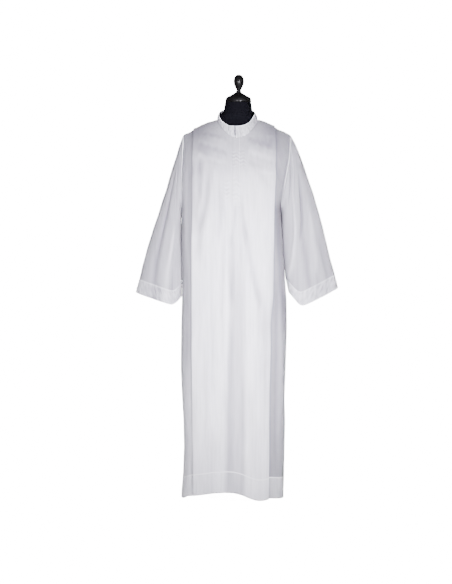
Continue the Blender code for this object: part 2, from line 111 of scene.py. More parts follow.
# a row for each height: height, left pleat's fold, right pleat's fold, gap from layer to layer
PLEAT = np.array((
    (-0.050, -0.1715, 0.1145, 0.0046),
    (0.200, -0.172, 0.117, 0.0046),
    (0.330, -0.174, 0.117, 0.0046),
    (0.450, -0.176, 0.118, 0.0046),
    (0.600, -0.177, 0.122, 0.0045),
    (0.715, -0.177, 0.1220, 0.0044),
    (0.820, -0.177, 0.1325, 0.0043),
    (0.990, -0.178, 0.1335, 0.0041),
    (1.170, -0.175, 0.1355, 0.0038),
    (1.280, -0.176, 0.1420, 0.0036),
    (1.430, -0.175, 0.143, 0.0034),
    (1.530, -0.172, 0.141, 0.0034),
))
# a row for each point along the shoulders: x, height of the front's slope, height of the back's
SHOULDER = np.array((
    (-0.222, 1.450, 1.450),
    (-0.213, 1.457, 1.457),
    (-0.193, 1.465, 1.465),
    (-0.182, 1.470, 1.470),
    (-0.163, 1.478, 1.478),
    (-0.146, 1.486, 1.486),
    (-0.124, 1.496, 1.496),
    (-0.092, 1.505, 1.505),
    (-0.078, 1.509, 1.510),
    (-0.040, 1.511, 1.541),
    (-0.0115, 1.509, 1.548),
    (0.030, 1.511, 1.541),
    (0.073, 1.509, 1.510),
    (0.095, 1.504, 1.504),
    (0.123, 1.493, 1.493),
    (0.143, 1.484, 1.484),
    (0.153, 1.479, 1.479),
    (0.179, 1.469, 1.469),
    (0.204, 1.456, 1.456),
    (0.214, 1.448, 1.448),
))
# a row for each point along a hem: x, height
FRONT_HEM = np.array((
    (-0.230, 0.006), (-0.216, 0.010), (-0.200, 0.022), (-0.174, 0.028), (-0.131, 0.036), (-0.091, 0.0430),
    (-0.052, 0.0455), (-0.020, 0.0440), (0.000, 0.0400), (0.015, 0.0350), (0.029, 0.0295), (0.050, 0.0205),
    (0.066, 0.0145), (0.078, 0.0120), (0.100, 0.0120), (0.113, 0.0150), (0.125, 0.018), (0.160, 0.012),
    (0.190, 0.006),
))
BACK_HEM = np.array((
    (-0.230, 0.006), (-0.200, 0.012), (-0.120, 0.014), (0.000, 0.012), (0.110, 0.010), (0.190, 0.006),
))
HEM_DEPTH = 0.086
# the neck opening: centre x, half width, depth to the front, depth to the back
NECK = (-0.0020, 0.0790, 0.0850, 0.0620)

# a row for each fold, a trough where depth is positive and a ridge where it is negative:
# top x, top z, end x, end z, sideways bow, width to the left, width to the right, depth, fade
FRONT_FOLDS = (
    (-0.026, 1.050, -0.029, 0.800, 0.000, 0.008, 0.014, 0.0050, 0.15),
    (-0.031, 0.930, -0.031, 0.600, 0.000, 0.008, 0.012, 0.0034, 0.20),
    (-0.034, 0.640, -0.036, 0.120, 0.000, 0.010, 0.014, 0.0030, 0.20),
    (0.014, 0.500, 0.018, 0.060, 0.002, 0.008, 0.009, 0.0022, 0.25),
    (0.010, 1.190, 0.030, 1.040, 0.000, 0.008, 0.009, 0.0045, 0.25),
    (0.022, 1.090, 0.084, 0.790, -0.004, 0.009, 0.012, 0.0060, 0.15),
    (0.080, 0.870, 0.092, 0.660, 0.000, 0.014, 0.018, 0.0045, 0.30),
    (-0.010, 1.175, -0.030, 1.020, 0.000, 0.008, 0.008, 0.0040, 0.25),
    (0.002, 1.170, 0.010, 0.960, 0.000, 0.008, 0.008, 0.0032, 0.25),
    (-0.118, 1.290, -0.152, 1.080, 0.006, 0.013, 0.015, 0.0070, 0.25),
    (-0.148, 1.150, -0.158, 0.980, 0.000, 0.012, 0.014, 0.0045, 0.30),
    (-0.150, 1.345, -0.153, 1.190, 0.000, 0.011, 0.012, 0.0065, 0.25),
    (-0.163, 1.200, -0.165, 1.090, 0.000, 0.007, 0.008, 0.0040, 0.30),
    (-0.074, 1.250, -0.076, 1.060, 0.003, 0.010, 0.010, 0.0040, 0.30),
    (-0.078, 0.900, -0.084, 0.600, 0.002, 0.009, 0.009, 0.0024, 0.30),
    (-0.060, 0.860, -0.066, 0.560, -0.002, 0.007, 0.007, 0.0018, 0.30),
    (-0.098, 0.760, -0.104, 0.440, 0.002, 0.010, 0.010, 0.0018, 0.30),
    (-0.132, 0.640, -0.128, 0.180, 0.004, 0.014, 0.014, 0.0022, 0.30),
    (0.058, 0.480, 0.060, 0.120, -0.003, 0.016, 0.016, 0.0025, 0.30),
    (0.096, 0.620, 0.090, 0.220, 0.003, 0.014, 0.014, 0.0024, 0.30),
    (-0.054, 0.400, -0.070, 0.060, 0.002, 0.018, 0.014, -0.0030, 0.30),
    (0.030, 0.230, 0.040, 0.000, 0.000, 0.012, 0.020, -0.0035, 0.30),
    (-0.100, 0.260, -0.120, 0.000, 0.000, 0.020, 0.020, 0.0030, 0.30),
    (-0.206, 0.950, -0.208, 0.560, 0.003, 0.007, 0.007, 0.0025, 0.20),
    (-0.197, 1.330, -0.199, 1.000, 0.002, 0.006, 0.006, 0.0030, 0.25),
    (0.158, 0.860, 0.150, 0.140, -0.003, 0.008, 0.008, 0.0060, 0.20),
    (0.172, 0.700, 0.168, 0.300, 0.002, 0.006, 0.007, -0.0050, 0.30),
    (0.168, 1.330, 0.160, 1.020, 0.001, 0.007, 0.007, 0.0035, 0.25),
    (-0.085, 1.010, -0.078, 0.520, 0.000, 0.007, 0.007, -0.0020, 0.25),
    (-0.111, 0.960, -0.106, 0.520, 0.002, 0.009, 0.009, 0.0020, 0.25),
    (-0.060, 1.050, -0.066, 0.760, 0.000, 0.006, 0.006, 0.0026, 0.25),
    (-0.048, 1.060, -0.054, 0.700, 0.000, 0.005, 0.006, -0.0022, 0.25),
    (0.034, 0.980, 0.052, 0.560, 0.000, 0.012, 0.012, -0.0022, 0.30),
    (0.104, 0.800, 0.108, 0.360, 0.000, 0.007, 0.010, 0.0040, 0.30),
    (0.146, 1.330, 0.166, 1.260, 0.000, 0.005, 0.006, 0.0030, 0.30),
    (0.150, 1.380, 0.172, 1.310, 0.000, 0.005, 0.006, -0.0028, 0.30),
    (0.060, 1.330, 0.128, 1.240, 0.000, 0.016, 0.016, 0.0022, 0.35),
    (-0.150, 1.400, -0.090, 1.330, 0.000, 0.022, 0.022, 0.0022, 0.35),
)
BACK_FOLDS = (
    (-0.085, 1.180, -0.105, 0.000, 0.006, 0.028, 0.034, 0.0090, 0.20),
    (0.050, 1.220, 0.066, 0.000, -0.005, 0.034, 0.028, 0.0090, 0.20),
    (-0.012, 0.900, -0.022, 0.000, 0.004, 0.024, 0.020, 0.0060, 0.20),
    (-0.150, 1.120, -0.160, 0.150, 0.004, 0.014, 0.014, 0.0045, 0.30),
    (0.116, 1.140, 0.122, 0.120, 0.003, 0.014, 0.014, 0.0045, 0.30),
    (-0.120, 1.400, -0.070, 1.250, 0.000, 0.022, 0.020, 0.0035, 0.35),
    (0.100, 1.390, 0.050, 1.240, 0.000, 0.020, 0.022, 0.0035, 0.35),
    (0.020, 0.600, 0.026, 0.040, 0.002, 0.014, 0.014, -0.0030, 0.30),
    (-0.056, 0.520, -0.060, 0.050, 0.002, 0.016, 0.014, -0.0030, 0.30),
)
# how close the rows of a panel lie: share of the way up to the slope, density
ROW_DENSITY = np.array((
    (0.000, 1.00), (0.030, 1.00), (0.036, 4.00), (0.072, 4.00),
    (0.080, 0.75), (0.820, 0.75), (0.850, 2.00), (1.000, 2.00),
))
# a row for each set of puckers: left x, right x, top z, lowest z, pitch, depth
PUCKERS = (
    (-0.030, 0.034, 1.392, 1.318, 0.0145, 0.0019),
    (-0.062, -0.030, 1.276, 1.190, 0.0165, 0.0024),
    (0.000, 0.026, 1.432, 1.404, 0.0100, 0.0012),
    (-0.030, 0.014, 1.300, 1.180, 0.0190, 0.0009),
    (0.034, 0.140, 1.450, 1.290, 0.0830, 0.0016),
    (-0.160, -0.040, 1.460, 1.330, 0.0660, 0.0013),
)

# a row for each place down a sleeve: share, outer x, outer z, inner x, inner z, half depth, y
SLEEVE_LEFT = np.array((
    (0.00, -0.2150, 1.459, -0.2300, 1.160, 0.066, 0.000),
    (0.07, -0.2290, 1.428, -0.2290, 1.120, 0.068, 0.000),
    (0.14, -0.2455, 1.370, -0.2270, 1.085, 0.068, 0.000),
    (0.22, -0.2640, 1.317, -0.2250, 1.050, 0.067, 0.000),
    (0.32, -0.2840, 1.247, -0.2230, 1.010, 0.066, 0.000),
    (0.42, -0.3040, 1.185, -0.2220, 0.970, 0.065, -0.002),
    (0.52, -0.3245, 1.122, -0.2210, 0.935, 0.064, -0.004),
    (0.62, -0.3465, 1.055, -0.2210, 0.905, 0.063, -0.006),
    (0.72, -0.3670, 0.990, -0.2210, 0.880, 0.062, -0.008),
    (0.82, -0.3810, 0.935, -0.2220, 0.860, 0.061, -0.010),
    (0.91, -0.3940, 0.880, -0.2222, 0.839, 0.060, -0.012),
    (1.00, -0.4080, 0.828, -0.2225, 0.814, 0.060, -0.014),
))
SLEEVE_RIGHT = np.array((
    (0.00, 0.206, 1.458, 0.1760, 1.160, 0.066, 0.000),
    (0.07, 0.224, 1.428, 0.1750, 1.125, 0.068, 0.000),
    (0.14, 0.241, 1.388, 0.1740, 1.092, 0.068, 0.000),
    (0.22, 0.259, 1.340, 0.1745, 1.058, 0.067, 0.000),
    (0.32, 0.281, 1.277, 0.1760, 1.018, 0.066, 0.000),
    (0.42, 0.302, 1.216, 0.1780, 0.980, 0.065, -0.002),
    (0.52, 0.322, 1.148, 0.1800, 0.962, 0.064, -0.004),
    (0.62, 0.342, 1.076, 0.1830, 0.932, 0.063, -0.006),
    (0.72, 0.358, 1.008, 0.1870, 0.906, 0.062, -0.008),
    (0.82, 0.370, 0.955, 0.1915, 0.880, 0.061, -0.010),
    (0.91, 0.386, 0.900, 0.1965, 0.856, 0.060, -0.012),
    (1.00, 0.400, 0.846, 0.2030, 0.829, 0.060, -0.014),
))
# a row for each fold of a sleeve, trough positive: 1 at the front or -1 at the back, share at its
# top, place there from outer edge 0 to inner edge 1, share at its end, place there, bow, width,
# depth
BOTH_FOLDS = (
    (-1, 0.16, 0.20, 0.90, 0.46, 0.03, 0.014, 0.0085),
    (-1, 0.36, 0.54, 1.05, 0.70, 0.00, 0.014, 0.0070),
    (-1, 0.60, 0.24, 1.05, 0.26, 0.00, 0.012, 0.0050),
)
LEFT_FOLDS = (
    (1, 0.20, 0.16, 0.66, 0.28, 0.00, 0.012, 0.0080),
    (1, 0.62, 0.27, 1.05, 0.36, 0.00, 0.013, 0.0075),
    (1, 0.36, 0.58, 0.90, 0.62, 0.00, 0.015, -0.0055),
    (1, 0.88, 0.43, 1.05, 0.54, 0.00, 0.007, 0.0045),
    (1, 0.10, 0.08, 0.24, 0.55, 0.04, 0.012, 0.0040),
    (1, 0.66, 0.75, 1.05, 0.82, 0.00, 0.010, 0.0035),
    *BOTH_FOLDS,
)
RIGHT_FOLDS = (
    (1, 0.02, 0.07, 0.17, 0.66, 0.05, 0.009, 0.0080),
    (1, 0.05, 0.12, 0.22, 0.52, 0.03, 0.008, -0.0040),
    (1, 0.22, 0.20, 0.52, 0.52, 0.00, 0.011, 0.0110),
    (1, 0.50, 0.51, 0.98, 0.56, 0.00, 0.012, 0.0060),
    (1, 0.20, 0.48, 0.76, 0.93, -0.03, 0.012, -0.0065),
    (1, 0.38, 0.19, 0.86, 0.38, 0.00, 0.014, -0.0040),
    (1, 0.62, 0.13, 1.00, 0.13, 0.00, 0.011, 0.0045),
    (1, 0.84, 0.34, 1.05, 0.38, 0.00, 0.007, 0.0035),
    *BOTH_FOLDS,
)
# how crumpled and shaded a turned cuff is: share of its width, the left one's, the right one's
CUFF_TONE = np.array((
    (0.00, 0.10, 0.10), (0.12, 0.26, 0.30), (0.25, 0.56, 0.36), (0.42, 0.60, 0.34), (0.52, 0.50, 0.24),
    (0.60, 0.20, 0.18), (0.72, 0.16, 0.10), (0.84, 0.44, 0.06), (1.00, 0.50, 0.04),
))
CUFF_HEM = 0.056
# painted shading, a row for each height: height, shade
CHEST_SHADE = np.array((
    (1.12, 0.0), (1.24, 0.13), (1.28, 0.20), (1.315, 0.34), (1.347, 0.42), (1.395, 0.50), (1.46, 0.49),
))
LEFT_WIDE = np.array(((0.35, 0.1), (0.60, 0.6), (0.85, 1.0)))
LEFT_NEAR = np.array(((0.45, 0.85), (0.65, 0.34)))
RIGHT_FOLD_SHADE = np.array(((0.52, 0.10), (0.66, 0.30), (0.76, 0.50), (0.98, 0.24), (1.08, 0.0)))
LEFT_FOLD_SHADE = np.array(((1.06, 0.0), (1.14, 0.36), (1.30, 0.40), (1.36, 0.0)))


# ---- the cloth's surfaces ----------------------------------------------------------------------
def read(table, key, column=1):
    return np.interp(key, table[:, 0], table[:, column])


def unit_range(value):
    return np.clip(value, 0.0, 1.0)


def smooth(value):
    return value * value * (3.0 - 2.0 * value)


def bell(value, middle, width):
    """1 at the middle, falling softly to 0 on both sides."""
    return np.exp(-((value - middle) / width) ** 2)


def between(value, low, high, fade):
    """1 from low to high and 0 outside, with a straight fade just inside each end."""
    return unit_range((value - low) / fade) * unit_range((high - value) / fade)


def arm_margin(z):
    """How far the side seams stand out above the underarm."""
    return ARM_INSET * np.sin(unit_range((z - UNDERARM) / ARM_RISE) * math.pi / 2.0)


def body_depth(side, x, z):
    left = read(BODY, z, 1) - arm_margin(z)
    right = read(BODY, z, 2) + arm_margin(z)
    share = unit_range(np.abs(x - (left + right) / 2.0) / ((right - left) / 2.0))
    return read(BODY, z, 3 if side < 0 else 4) * (1.0 - share ** ROUND) ** (1.0 / ROUND)


def slope_point(side, x, turn):
    rise = unit_range(np.sin(turn))
    z = read(SHOULDER, x, 1 if side < 0 else 2) - DROP + DROP * rise
    return body_depth(side, x, z) * (1.0 - rise ** SLOPE_FOOT) ** (1.0 / SLOPE_TOP), z


def slope_end(side, x):
    """The turn at which a slope meets the neck opening, or the shoulder seam beside it."""
    neck_x, half_width, to_front, to_back = NECK
    near = (x - neck_x) / half_width
    reach = (to_front if side < 0 else to_back) * np.sqrt(unit_range(1.0 - near * near))
    low = np.zeros_like(x)
    high = np.full_like(x, math.pi / 2.0)
    for _ in range(26):
        end = (low + high) / 2.0
        outside = slope_point(side, x, end)[0] > reach
        low = np.where(outside, end, low)
        high = np.where(outside, high, end)
    return np.where(np.abs(near) < 1.0, (low + high) / 2.0, math.pi / 2.0)


def body_point(side, x, row):
    """Points of the front (side -1) or back (side 1): row 0 is the hem, 1 the slope's foot, 2 the top."""
    x, row = np.broadcast_arrays(np.asarray(x, float), np.asarray(row, float))
    hem = np.interp(x, *(FRONT_HEM if side < 0 else BACK_HEM).T)
    start = read(SHOULDER, x, 1 if side < 0 else 2) - DROP
    z = hem + (start - hem) * np.minimum(row, 1.0)
    y = body_depth(side, x, z)
    if (row > 1.0).any():
        y_slope, z_slope = slope_point(side, x, unit_range(row - 1.0) * slope_end(side, x))
        y = np.where(row > 1.0, y_slope, y)
        z = np.where(row > 1.0, z_slope, z)
    return np.stack([x, side * (y + SEAM), z], axis=-1)


def unit(vectors):
    return vectors / np.maximum(1e-12, np.linalg.norm(vectors, axis=-1, keepdims=True))


def body_normal(side, x, row):
    step = 0.002
    across = body_point(side, x + step, row) - body_point(side, x - step, row)
    low, high = np.maximum(0.0, row - 0.01), np.minimum(2.0, row + 0.01)
    up = body_point(side, x, high) - body_point(side, x, low)
    return unit(np.cross(across, up)) * (1.0 if side < 0 else -1.0)


def line_x(side, table, column, rows):
    """Where a line that a table gives by height crosses each row of a panel."""
    x = np.full_like(rows, float(read(table, 1.0, column)))
    for _ in range(8):
        x = read(table, body_point(side, x, rows)[..., 2], column)
    return x


def folds(table, x, z):
    """How far the cloth sinks at each point, from all the rows of a fold table."""
    total = np.zeros_like(x)
    for x1, z1, x2, z2, bow, to_left, to_right, depth, fade in table:
        share = (z1 - z) / (z1 - z2)
        inside = unit_range((share + fade) / (2.0 * fade))
        if z2 > 0.01:
            inside = inside * unit_range((1.0 + fade - share) / (2.0 * fade))
        along = unit_range(share)
        away = x - (x1 + (x2 - x1) * along + 4.0 * bow * along * (1.0 - along))
        total += depth * smooth(inside) * bell(away, 0.0, np.where(away < 0.0, to_left, to_right))
    return total


def puckers(x, z):
    """Small gathers across the cloth, slanted and uneven."""
    total = np.zeros_like(x)
    for x1, x2, z1, z2, pitch, depth in PUCKERS:
        place = between(x, x1, x2, 0.010) * between(z, z2, z1, 0.012)
        wander = z + 0.22 * (x - x1) + 0.0035 * np.sin(x * 230.0)
        uneven = 0.75 + 0.45 * np.sin(z * 131.0 + x * 57.0)
        total += depth * place * uneven * np.sin(2.0 * math.pi * wander / pitch)
    return total


def shade_of(sink):
    """How much less light reaches the foot of a fold."""
    return np.clip(sink / 0.018, -0.12, 0.50)


def chest_shade(x, z):
    """The slope to the shoulders turns from the light, less so below the collar."""
    edges = unit_range((z - 1.36) / 0.09) * unit_range((np.abs(x + 0.010) - 0.065) / 0.07)
    middle = bell(x, -0.002, 0.030) * unit_range((z - 1.41) / 0.05)
    return read(CHEST_SHADE, z) * (1.0 - 0.6 * middle) + 0.28 * edges


def neck_seam(x):
    """Height of the collar's seam round the front."""
    away = unit_range(np.abs(x - NECK[0]) / NECK[1])
    return 1.447 + 0.068 * (1.0 - np.sqrt(1.0 - away * away))


def soft_noise(a, b, size, seed):
    """Smooth, uneven ripples from a few crossing waves, about -1 to 1."""
    rng = np.random.default_rng(seed)
    total = np.zeros_like(a)
    for _ in range(7):
        angle = rng.uniform(0.0, math.pi)
        wave = rng.uniform(0.7, 1.6) / size
        shift = rng.uniform(0.0, 6.28, 2)
        bend = 0.8 * np.sin((a * math.sin(angle) - b * math.cos(angle)) * wave * 2.2 + shift[0])
        total += np.sin((a * math.cos(angle) + b * math.sin(angle)) * wave * 6.28 + shift[1] + bend)
    return total / 4.0


def spread(x_from, x_edge, middle, share):
    """Steps to a side seam that stay even where the body's plan turns away."""
    reach = np.abs(x_edge - middle)
    first = np.arcsin(unit_range(np.abs(x_from - middle) / reach) ** (ROUND / 2.0))
    angle = first + (math.pi / 2.0 - first) * share
    return middle + np.sign(x_edge - middle) * reach * np.sin(angle) ** (2.0 / ROUND)


def panel_rows(below, above):
    """Rows up a panel, closer at the hem's stitch line and on the chest, then up the slope."""
    even = np.linspace(0.0, 1.0, 2001)
    total = np.cumsum(read(ROW_DENSITY, even))
    total = (total - total[0]) / (total[-1] - total[0])
    first = np.interp(np.linspace(0.0, 1.0, below), total, even)
    second = 1.0 + np.linspace(0.0, 1.0, above + 1)[1:]
    return np.concatenate([first, second])


def panel(side, x, rows):
    """A panel's levels, points and normals, and each point's distance up the cloth."""
    level = np.repeat(rows[:, None], x.shape[1], axis=1)
    base = body_point(side, x, level)
    return level, base, body_normal(side, x, level), along_length(base)


def firm_edges(width):
    """0 at both edges of a panel and 1 from the third column in, so that seams stay straight."""
    edge = np.minimum(np.arange(width), np.arange(width)[::-1])
    return unit_range(edge / 3.0)[None, :]


def hem_marks(distance, depth):
    """The double layer of a turned hem and its stitch line, from the distance to the edge."""
    double = unit_range((depth - distance) / 0.002 + 0.5)
    return double, bell(distance, depth - STITCH_INSET, STITCH_WIDTH)


def along_length(points):
    """Distance along each column of a grid, from its first row."""
    step = np.linalg.norm(np.diff(points, axis=0), axis=-1)
    return np.concatenate([np.zeros((1, points.shape[1])), np.cumsum(step, axis=0)], axis=0)


# ---- meshes ------------------------------------------------------------------------------------
def sheet_mesh(name, points, uv, marks, ring=False, skip=None):
    """An object from a grid of points, with its cloth coordinates in metres and its marks."""
    rows, width = points.shape[:2]
    wrap = width if ring else width - 1
    j, i = np.meshgrid(np.arange(rows - 1), np.arange(wrap), indexing="ij")
    k = (i + 1) % width
    corners = np.stack([j * width + i, j * width + k, (j + 1) * width + k, (j + 1) * width + i], -1)
    uv_next = np.concatenate([uv, uv[:, :1] + np.array([uv[0, -1, 0] - uv[0, 0, 0], 0.0])], axis=1)
    cell = np.stack([uv[j, i], uv_next[j, i + 1], uv_next[j + 1, i + 1], uv[j + 1, i]], -2)
    if skip is not None:
        corners = corners[~skip]
        cell = cell[~skip]
    mesh = bpy.data.meshes.new(name)
    mesh.from_pydata(points.reshape(-1, 3).tolist(), [], corners.reshape(-1, 4).tolist())
    layer = mesh.uv_layers.new(name="cloth")
    layer.data.foreach_set("uv", cell.reshape(-1).astype(np.float32))
    for mark, values in marks.items():
        attribute = mesh.attributes.new(mark, "FLOAT", "POINT")
        attribute.data.foreach_set("value", values.reshape(-1).astype(np.float32))
    mesh.polygons.foreach_set("use_smooth", np.ones(len(mesh.polygons), bool))
    thing = bpy.data.objects.new(name, mesh)
    bpy.context.scene.collection.objects.link(thing)
    return thing


def outward(thing, towards):
    """Turns the faces so that they look away from a point inside the garment."""
    shape = bmesh.new()
    shape.from_mesh(thing.data)
    shape.faces.ensure_lookup_table()
    face = shape.faces[len(shape.faces) // 2]
    if face.normal.dot(face.calc_center_median() - Vector(towards)) < 0.0:
        bmesh.ops.reverse_faces(shape, faces=shape.faces)
        shape.to_mesh(thing.data)
    shape.free()


def thicken(thing, wall):
    thick = thing.modifiers.new("wall", "SOLIDIFY")
    thick.thickness = wall
    thick.offset = 0.0
    thick.use_even_offset = False
    bpy.ops.object.select_all(action="DESELECT")
    thing.select_set(True)
    bpy.context.view_layer.objects.active = thing
    bpy.ops.object.modifier_apply(modifier=thick.name)


def dress(thing, surface, slot, *nodes):
    thing.data.materials.clear()
    thing.data.materials.append(surface)
    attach(thing, "root")
    if nodes:
        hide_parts(*nodes)


def sew(thing, inside, wall, node):
    """Gives a sheet its wall, its cloth and its place in the frame."""
    outward(thing, inside)
    thicken(thing, wall)
    dress(thing, poplin(), "white_poplin", node)


# ---- finishes ----------------------------------------------------------------------------------
class Graph:
    """A short way to write a material's nodes."""

    def __init__(self, name):
        self.material = bpy.data.materials.get(name) or bpy.data.materials.new(name)
        self.material.use_nodes = True
        self.tree = self.material.node_tree
        self.tree.nodes.clear()
        self.out = self.add("ShaderNodeOutputMaterial")
        self.shader = self.add("ShaderNodeBsdfPrincipled")
        self.join(self.shader, 0, self.out, 0)

    def add(self, kind, **values):
        node = self.tree.nodes.new(kind)
        for key, value in values.items():
            setattr(node, key, value)
        return node

    def join(self, node, socket, other, other_socket):
        self.tree.links.new(node.outputs[socket], other.inputs[other_socket])

    def place(self):
        return self.add("ShaderNodeTexCoord").outputs["Object"]

    def mark(self, name):
        return self.add("ShaderNodeAttribute", attribute_name=name).outputs["Fac"]

    def stretched(self, coords, along):
        node = self.add("ShaderNodeMapping")
        node.inputs["Scale"].default_value = (1.0, 1.0, along)
        self.tree.links.new(coords, node.inputs["Vector"])
        return node.outputs[0]

    def maths(self, operation, first, second=0.0, clamp=False):
        """One sum; MULTIPLY_ADD multiplies and then adds the third input as it stands."""
        node = self.add("ShaderNodeMath", operation=operation, use_clamp=clamp)
        for index, value in enumerate((first, second)):
            if isinstance(value, (int, float)):
                node.inputs[index].default_value = value
            else:
                self.tree.links.new(value, node.inputs[index])
        return node.outputs[0]

    def wave(self, coords, direction, scale, distortion=0.0):
        node = self.add("ShaderNodeTexWave", wave_type="BANDS", bands_direction=direction)
        node.inputs["Scale"].default_value = scale
        node.inputs["Distortion"].default_value = distortion
        self.tree.links.new(coords, node.inputs["Vector"])
        return node.outputs["Fac"]

    def noise(self, coords, scale, detail=2.0, rough=0.5, distortion=0.0):
        node = self.add("ShaderNodeTexNoise")
        self.tree.links.new(coords, node.inputs["Vector"])
        node.inputs["Scale"].default_value = scale
        node.inputs["Detail"].default_value = detail
        node.inputs["Roughness"].default_value = rough
        node.inputs["Distortion"].default_value = distortion
        return node.outputs["Fac"]

    def colours(self, factor, *stops):
        ramp = self.add("ShaderNodeValToRGB")
        self.tree.links.new(factor, ramp.inputs[0])
        for element, (place, colour) in zip(ramp.color_ramp.elements, stops):
            element.position = place
            element.color = (*colour, 1.0)
        return ramp.outputs[0]

    def blend(self, factor, first, second):
        node = self.add("ShaderNodeMix", data_type="RGBA")
        for socket, value in ((0, factor), (6, first), (7, second)):
            if isinstance(value, tuple):
                node.inputs[socket].default_value = (*value, 1.0)
            else:
                self.tree.links.new(value, node.inputs[socket])
        return node.outputs[2]

    def bump(self, height, distance, strength=1.0, under=None):
        node = self.add("ShaderNodeBump")
        node.inputs["Distance"].default_value = distance
        node.inputs["Strength"].default_value = strength
        self.tree.links.new(height, node.inputs["Height"])
        if under is not None:
            self.tree.links.new(under, node.inputs["Normal"])
        return node.outputs[0]

    def set(self, name, value):
        if hasattr(value, "links"):
            self.tree.links.new(value, self.shader.inputs[name])
        else:
            self.shader.inputs[name].default_value = value

    def glow(self, strength):
        self.set("Emission Color", WHITE)
        self.set("Emission Strength", strength)


def poplin():
    """White cotton blend: a fine plain weave, soft uneven creases, brighter double layers, and painted
    shade, painted streaks of shade and painted highlights.
    """
    g = Graph("white_poplin")
    cloth = g.add("ShaderNodeUVMap", uv_map="cloth")
    place = g.place()
    split = g.add("ShaderNodeSeparateXYZ")
    g.join(cloth, 0, split, 0)
    pitch = 2.0 * math.pi / 0.00050
    warp = g.maths("SINE", g.maths("MULTIPLY", split.outputs[0], pitch))
    weft = g.maths("SINE", g.maths("MULTIPLY", split.outputs[1], pitch))
    weave = g.maths("MULTIPLY", warp, weft)
    slub = g.noise(cloth.outputs[0], 900.0, 2.0, 0.6)
    hanging = g.stretched(place, 0.28)
    ripple = g.noise(hanging, 26.0, 3.0, 0.55, 0.6)
    crumple = g.noise(place, 62.0, 3.0, 0.6, 0.3)
    normal = g.bump(weave, 0.00004)
    normal = g.bump(slub, 0.00006, under=normal)
    normal = g.bump(ripple, 0.0030, 0.55, under=normal)
    g.set("Normal", g.bump(crumple, 0.0012, 0.45, under=normal))
    light = settings().poplin_colour
    dull = (light[0] * 0.9412, light[1] * 0.9408, light[2] * 0.96875)
    base = g.colours(g.noise(hanging, 9.0, 2.0, 0.5), (0.30, dull), (0.70, tuple(light)))
    # painted shade: soft vertical streaks and cloudy patches darken the cloth towards the shadow colour
    drawn = g.stretched(place, 0.05)
    streak = g.maths("SUBTRACT", 0.62, g.noise(drawn, 120.0, 2.0, 0.6), True)
    cloud = g.maths("SUBTRACT", 0.60, g.noise(hanging, 22.0, 3.0, 0.6, 0.8), True)
    streak_shade = g.maths("ADD", g.maths("MULTIPLY", streak, 0.50), g.maths("MULTIPLY", cloud, 0.28))
    shadow = (0.11, 0.10, 0.14)
    # one layer lets the dark inside show, and the same mark paints shade on the front's side panels and the
    # sleeves, with painted highlights on the sleeves' ridges
    base = g.blend(g.mark("sheer_and_shade"), base, (0.335, 0.330, 0.365))
    base = g.blend(g.maths("MULTIPLY", g.mark("double"), 0.60), base, (0.79, 0.795, 0.83))
    base = g.blend(streak_shade, base, shadow)
    base = g.blend(g.mark("shade"), base, shadow)
    # stitch lines are lighter; the same mark carries the painted highlights on the collar's rim and on the
    # sleeves' seam ridges
    gaps = g.noise(cloth.outputs[0], 260.0, 1.0, 0.5)
    seen = g.maths("MULTIPLY", g.mark("thread_and_highlight"), g.maths("MULTIPLY_ADD", gaps, 1.4, True))
    g.set("Base Color", g.blend(seen, base, (0.90, 0.90, 0.93)))
    g.set("Roughness", g.maths("MULTIPLY_ADD", crumple, 0.10))
    g.set("Specular IOR Level", 0.25)
    g.set("Sheen Weight", 0.12)
    g.set("Sheen Roughness", 0.5)
    return g.material


def jersey():
    """Black knitted cover of the form: fine wales, slightly blue, with lint."""
    g = Graph("black_jersey")
    place = g.place()
    knit = g.noise(place, 900.0, 2.0, 0.6)
    normal = g.bump(g.wave(place, "X", 190.0), 0.0002, 0.6)
    normal = g.bump(knit, 0.0002, 0.5, under=normal)
    g.set("Normal", g.bump(g.noise(place, 60.0), 0.0010, 0.6, under=normal))
    light = settings().jersey_colour
    deep = (light[0] * 0.4348, light[1] * 0.4545, light[2] * 0.4857)
    g.set("Base Color", g.colours(knit, (0.3, deep), (0.75, tuple(light))))
    g.set("Roughness", 0.85)
    g.set("Specular IOR Level", 0.06)
    return g.material


def lacquer():
    """Black lacquer on turned wood, with faint turning lines."""
    g = Graph("black_lacquer")
    place = g.place()
    g.set("Normal", g.bump(g.wave(place, "Z", 110.0, 1.5), 0.0002, 0.35))
    smear = g.noise(place, 45.0)
    g.set("Base Color", g.colours(smear, (0.3, (0.0020, 0.0018, 0.0020)), (0.7, (0.0045, 0.0040, 0.0044))))
    g.set("Roughness", g.maths("MULTIPLY_ADD", smear, 0.16))
    g.set("Specular IOR Level", 0.15)
    g.set("Coat Weight", 0.22)
    g.set("Coat Roughness", 0.20)
    return g.material


def metal(name, light, dark, metallic):
    """Brushed metal or paint. Its graph is handed back, so that a glow can be added."""
    g = Graph(name)
    grain = g.noise(g.stretched(g.place(), 12.0), 220.0, 3.0, 0.6)
    g.set("Base Color", g.colours(grain, (0.3, dark), (0.7, light)))
    g.set("Normal", g.bump(grain, 0.0001, 0.4))
    g.set("Roughness", g.maths("MULTIPLY_ADD", grain, 0.14))
    g.set("Metallic", metallic)
    return g


# ---- cloth pieces ------------------------------------------------------------------------------
def settings():
    return bpy.context.scene.alb_cloth


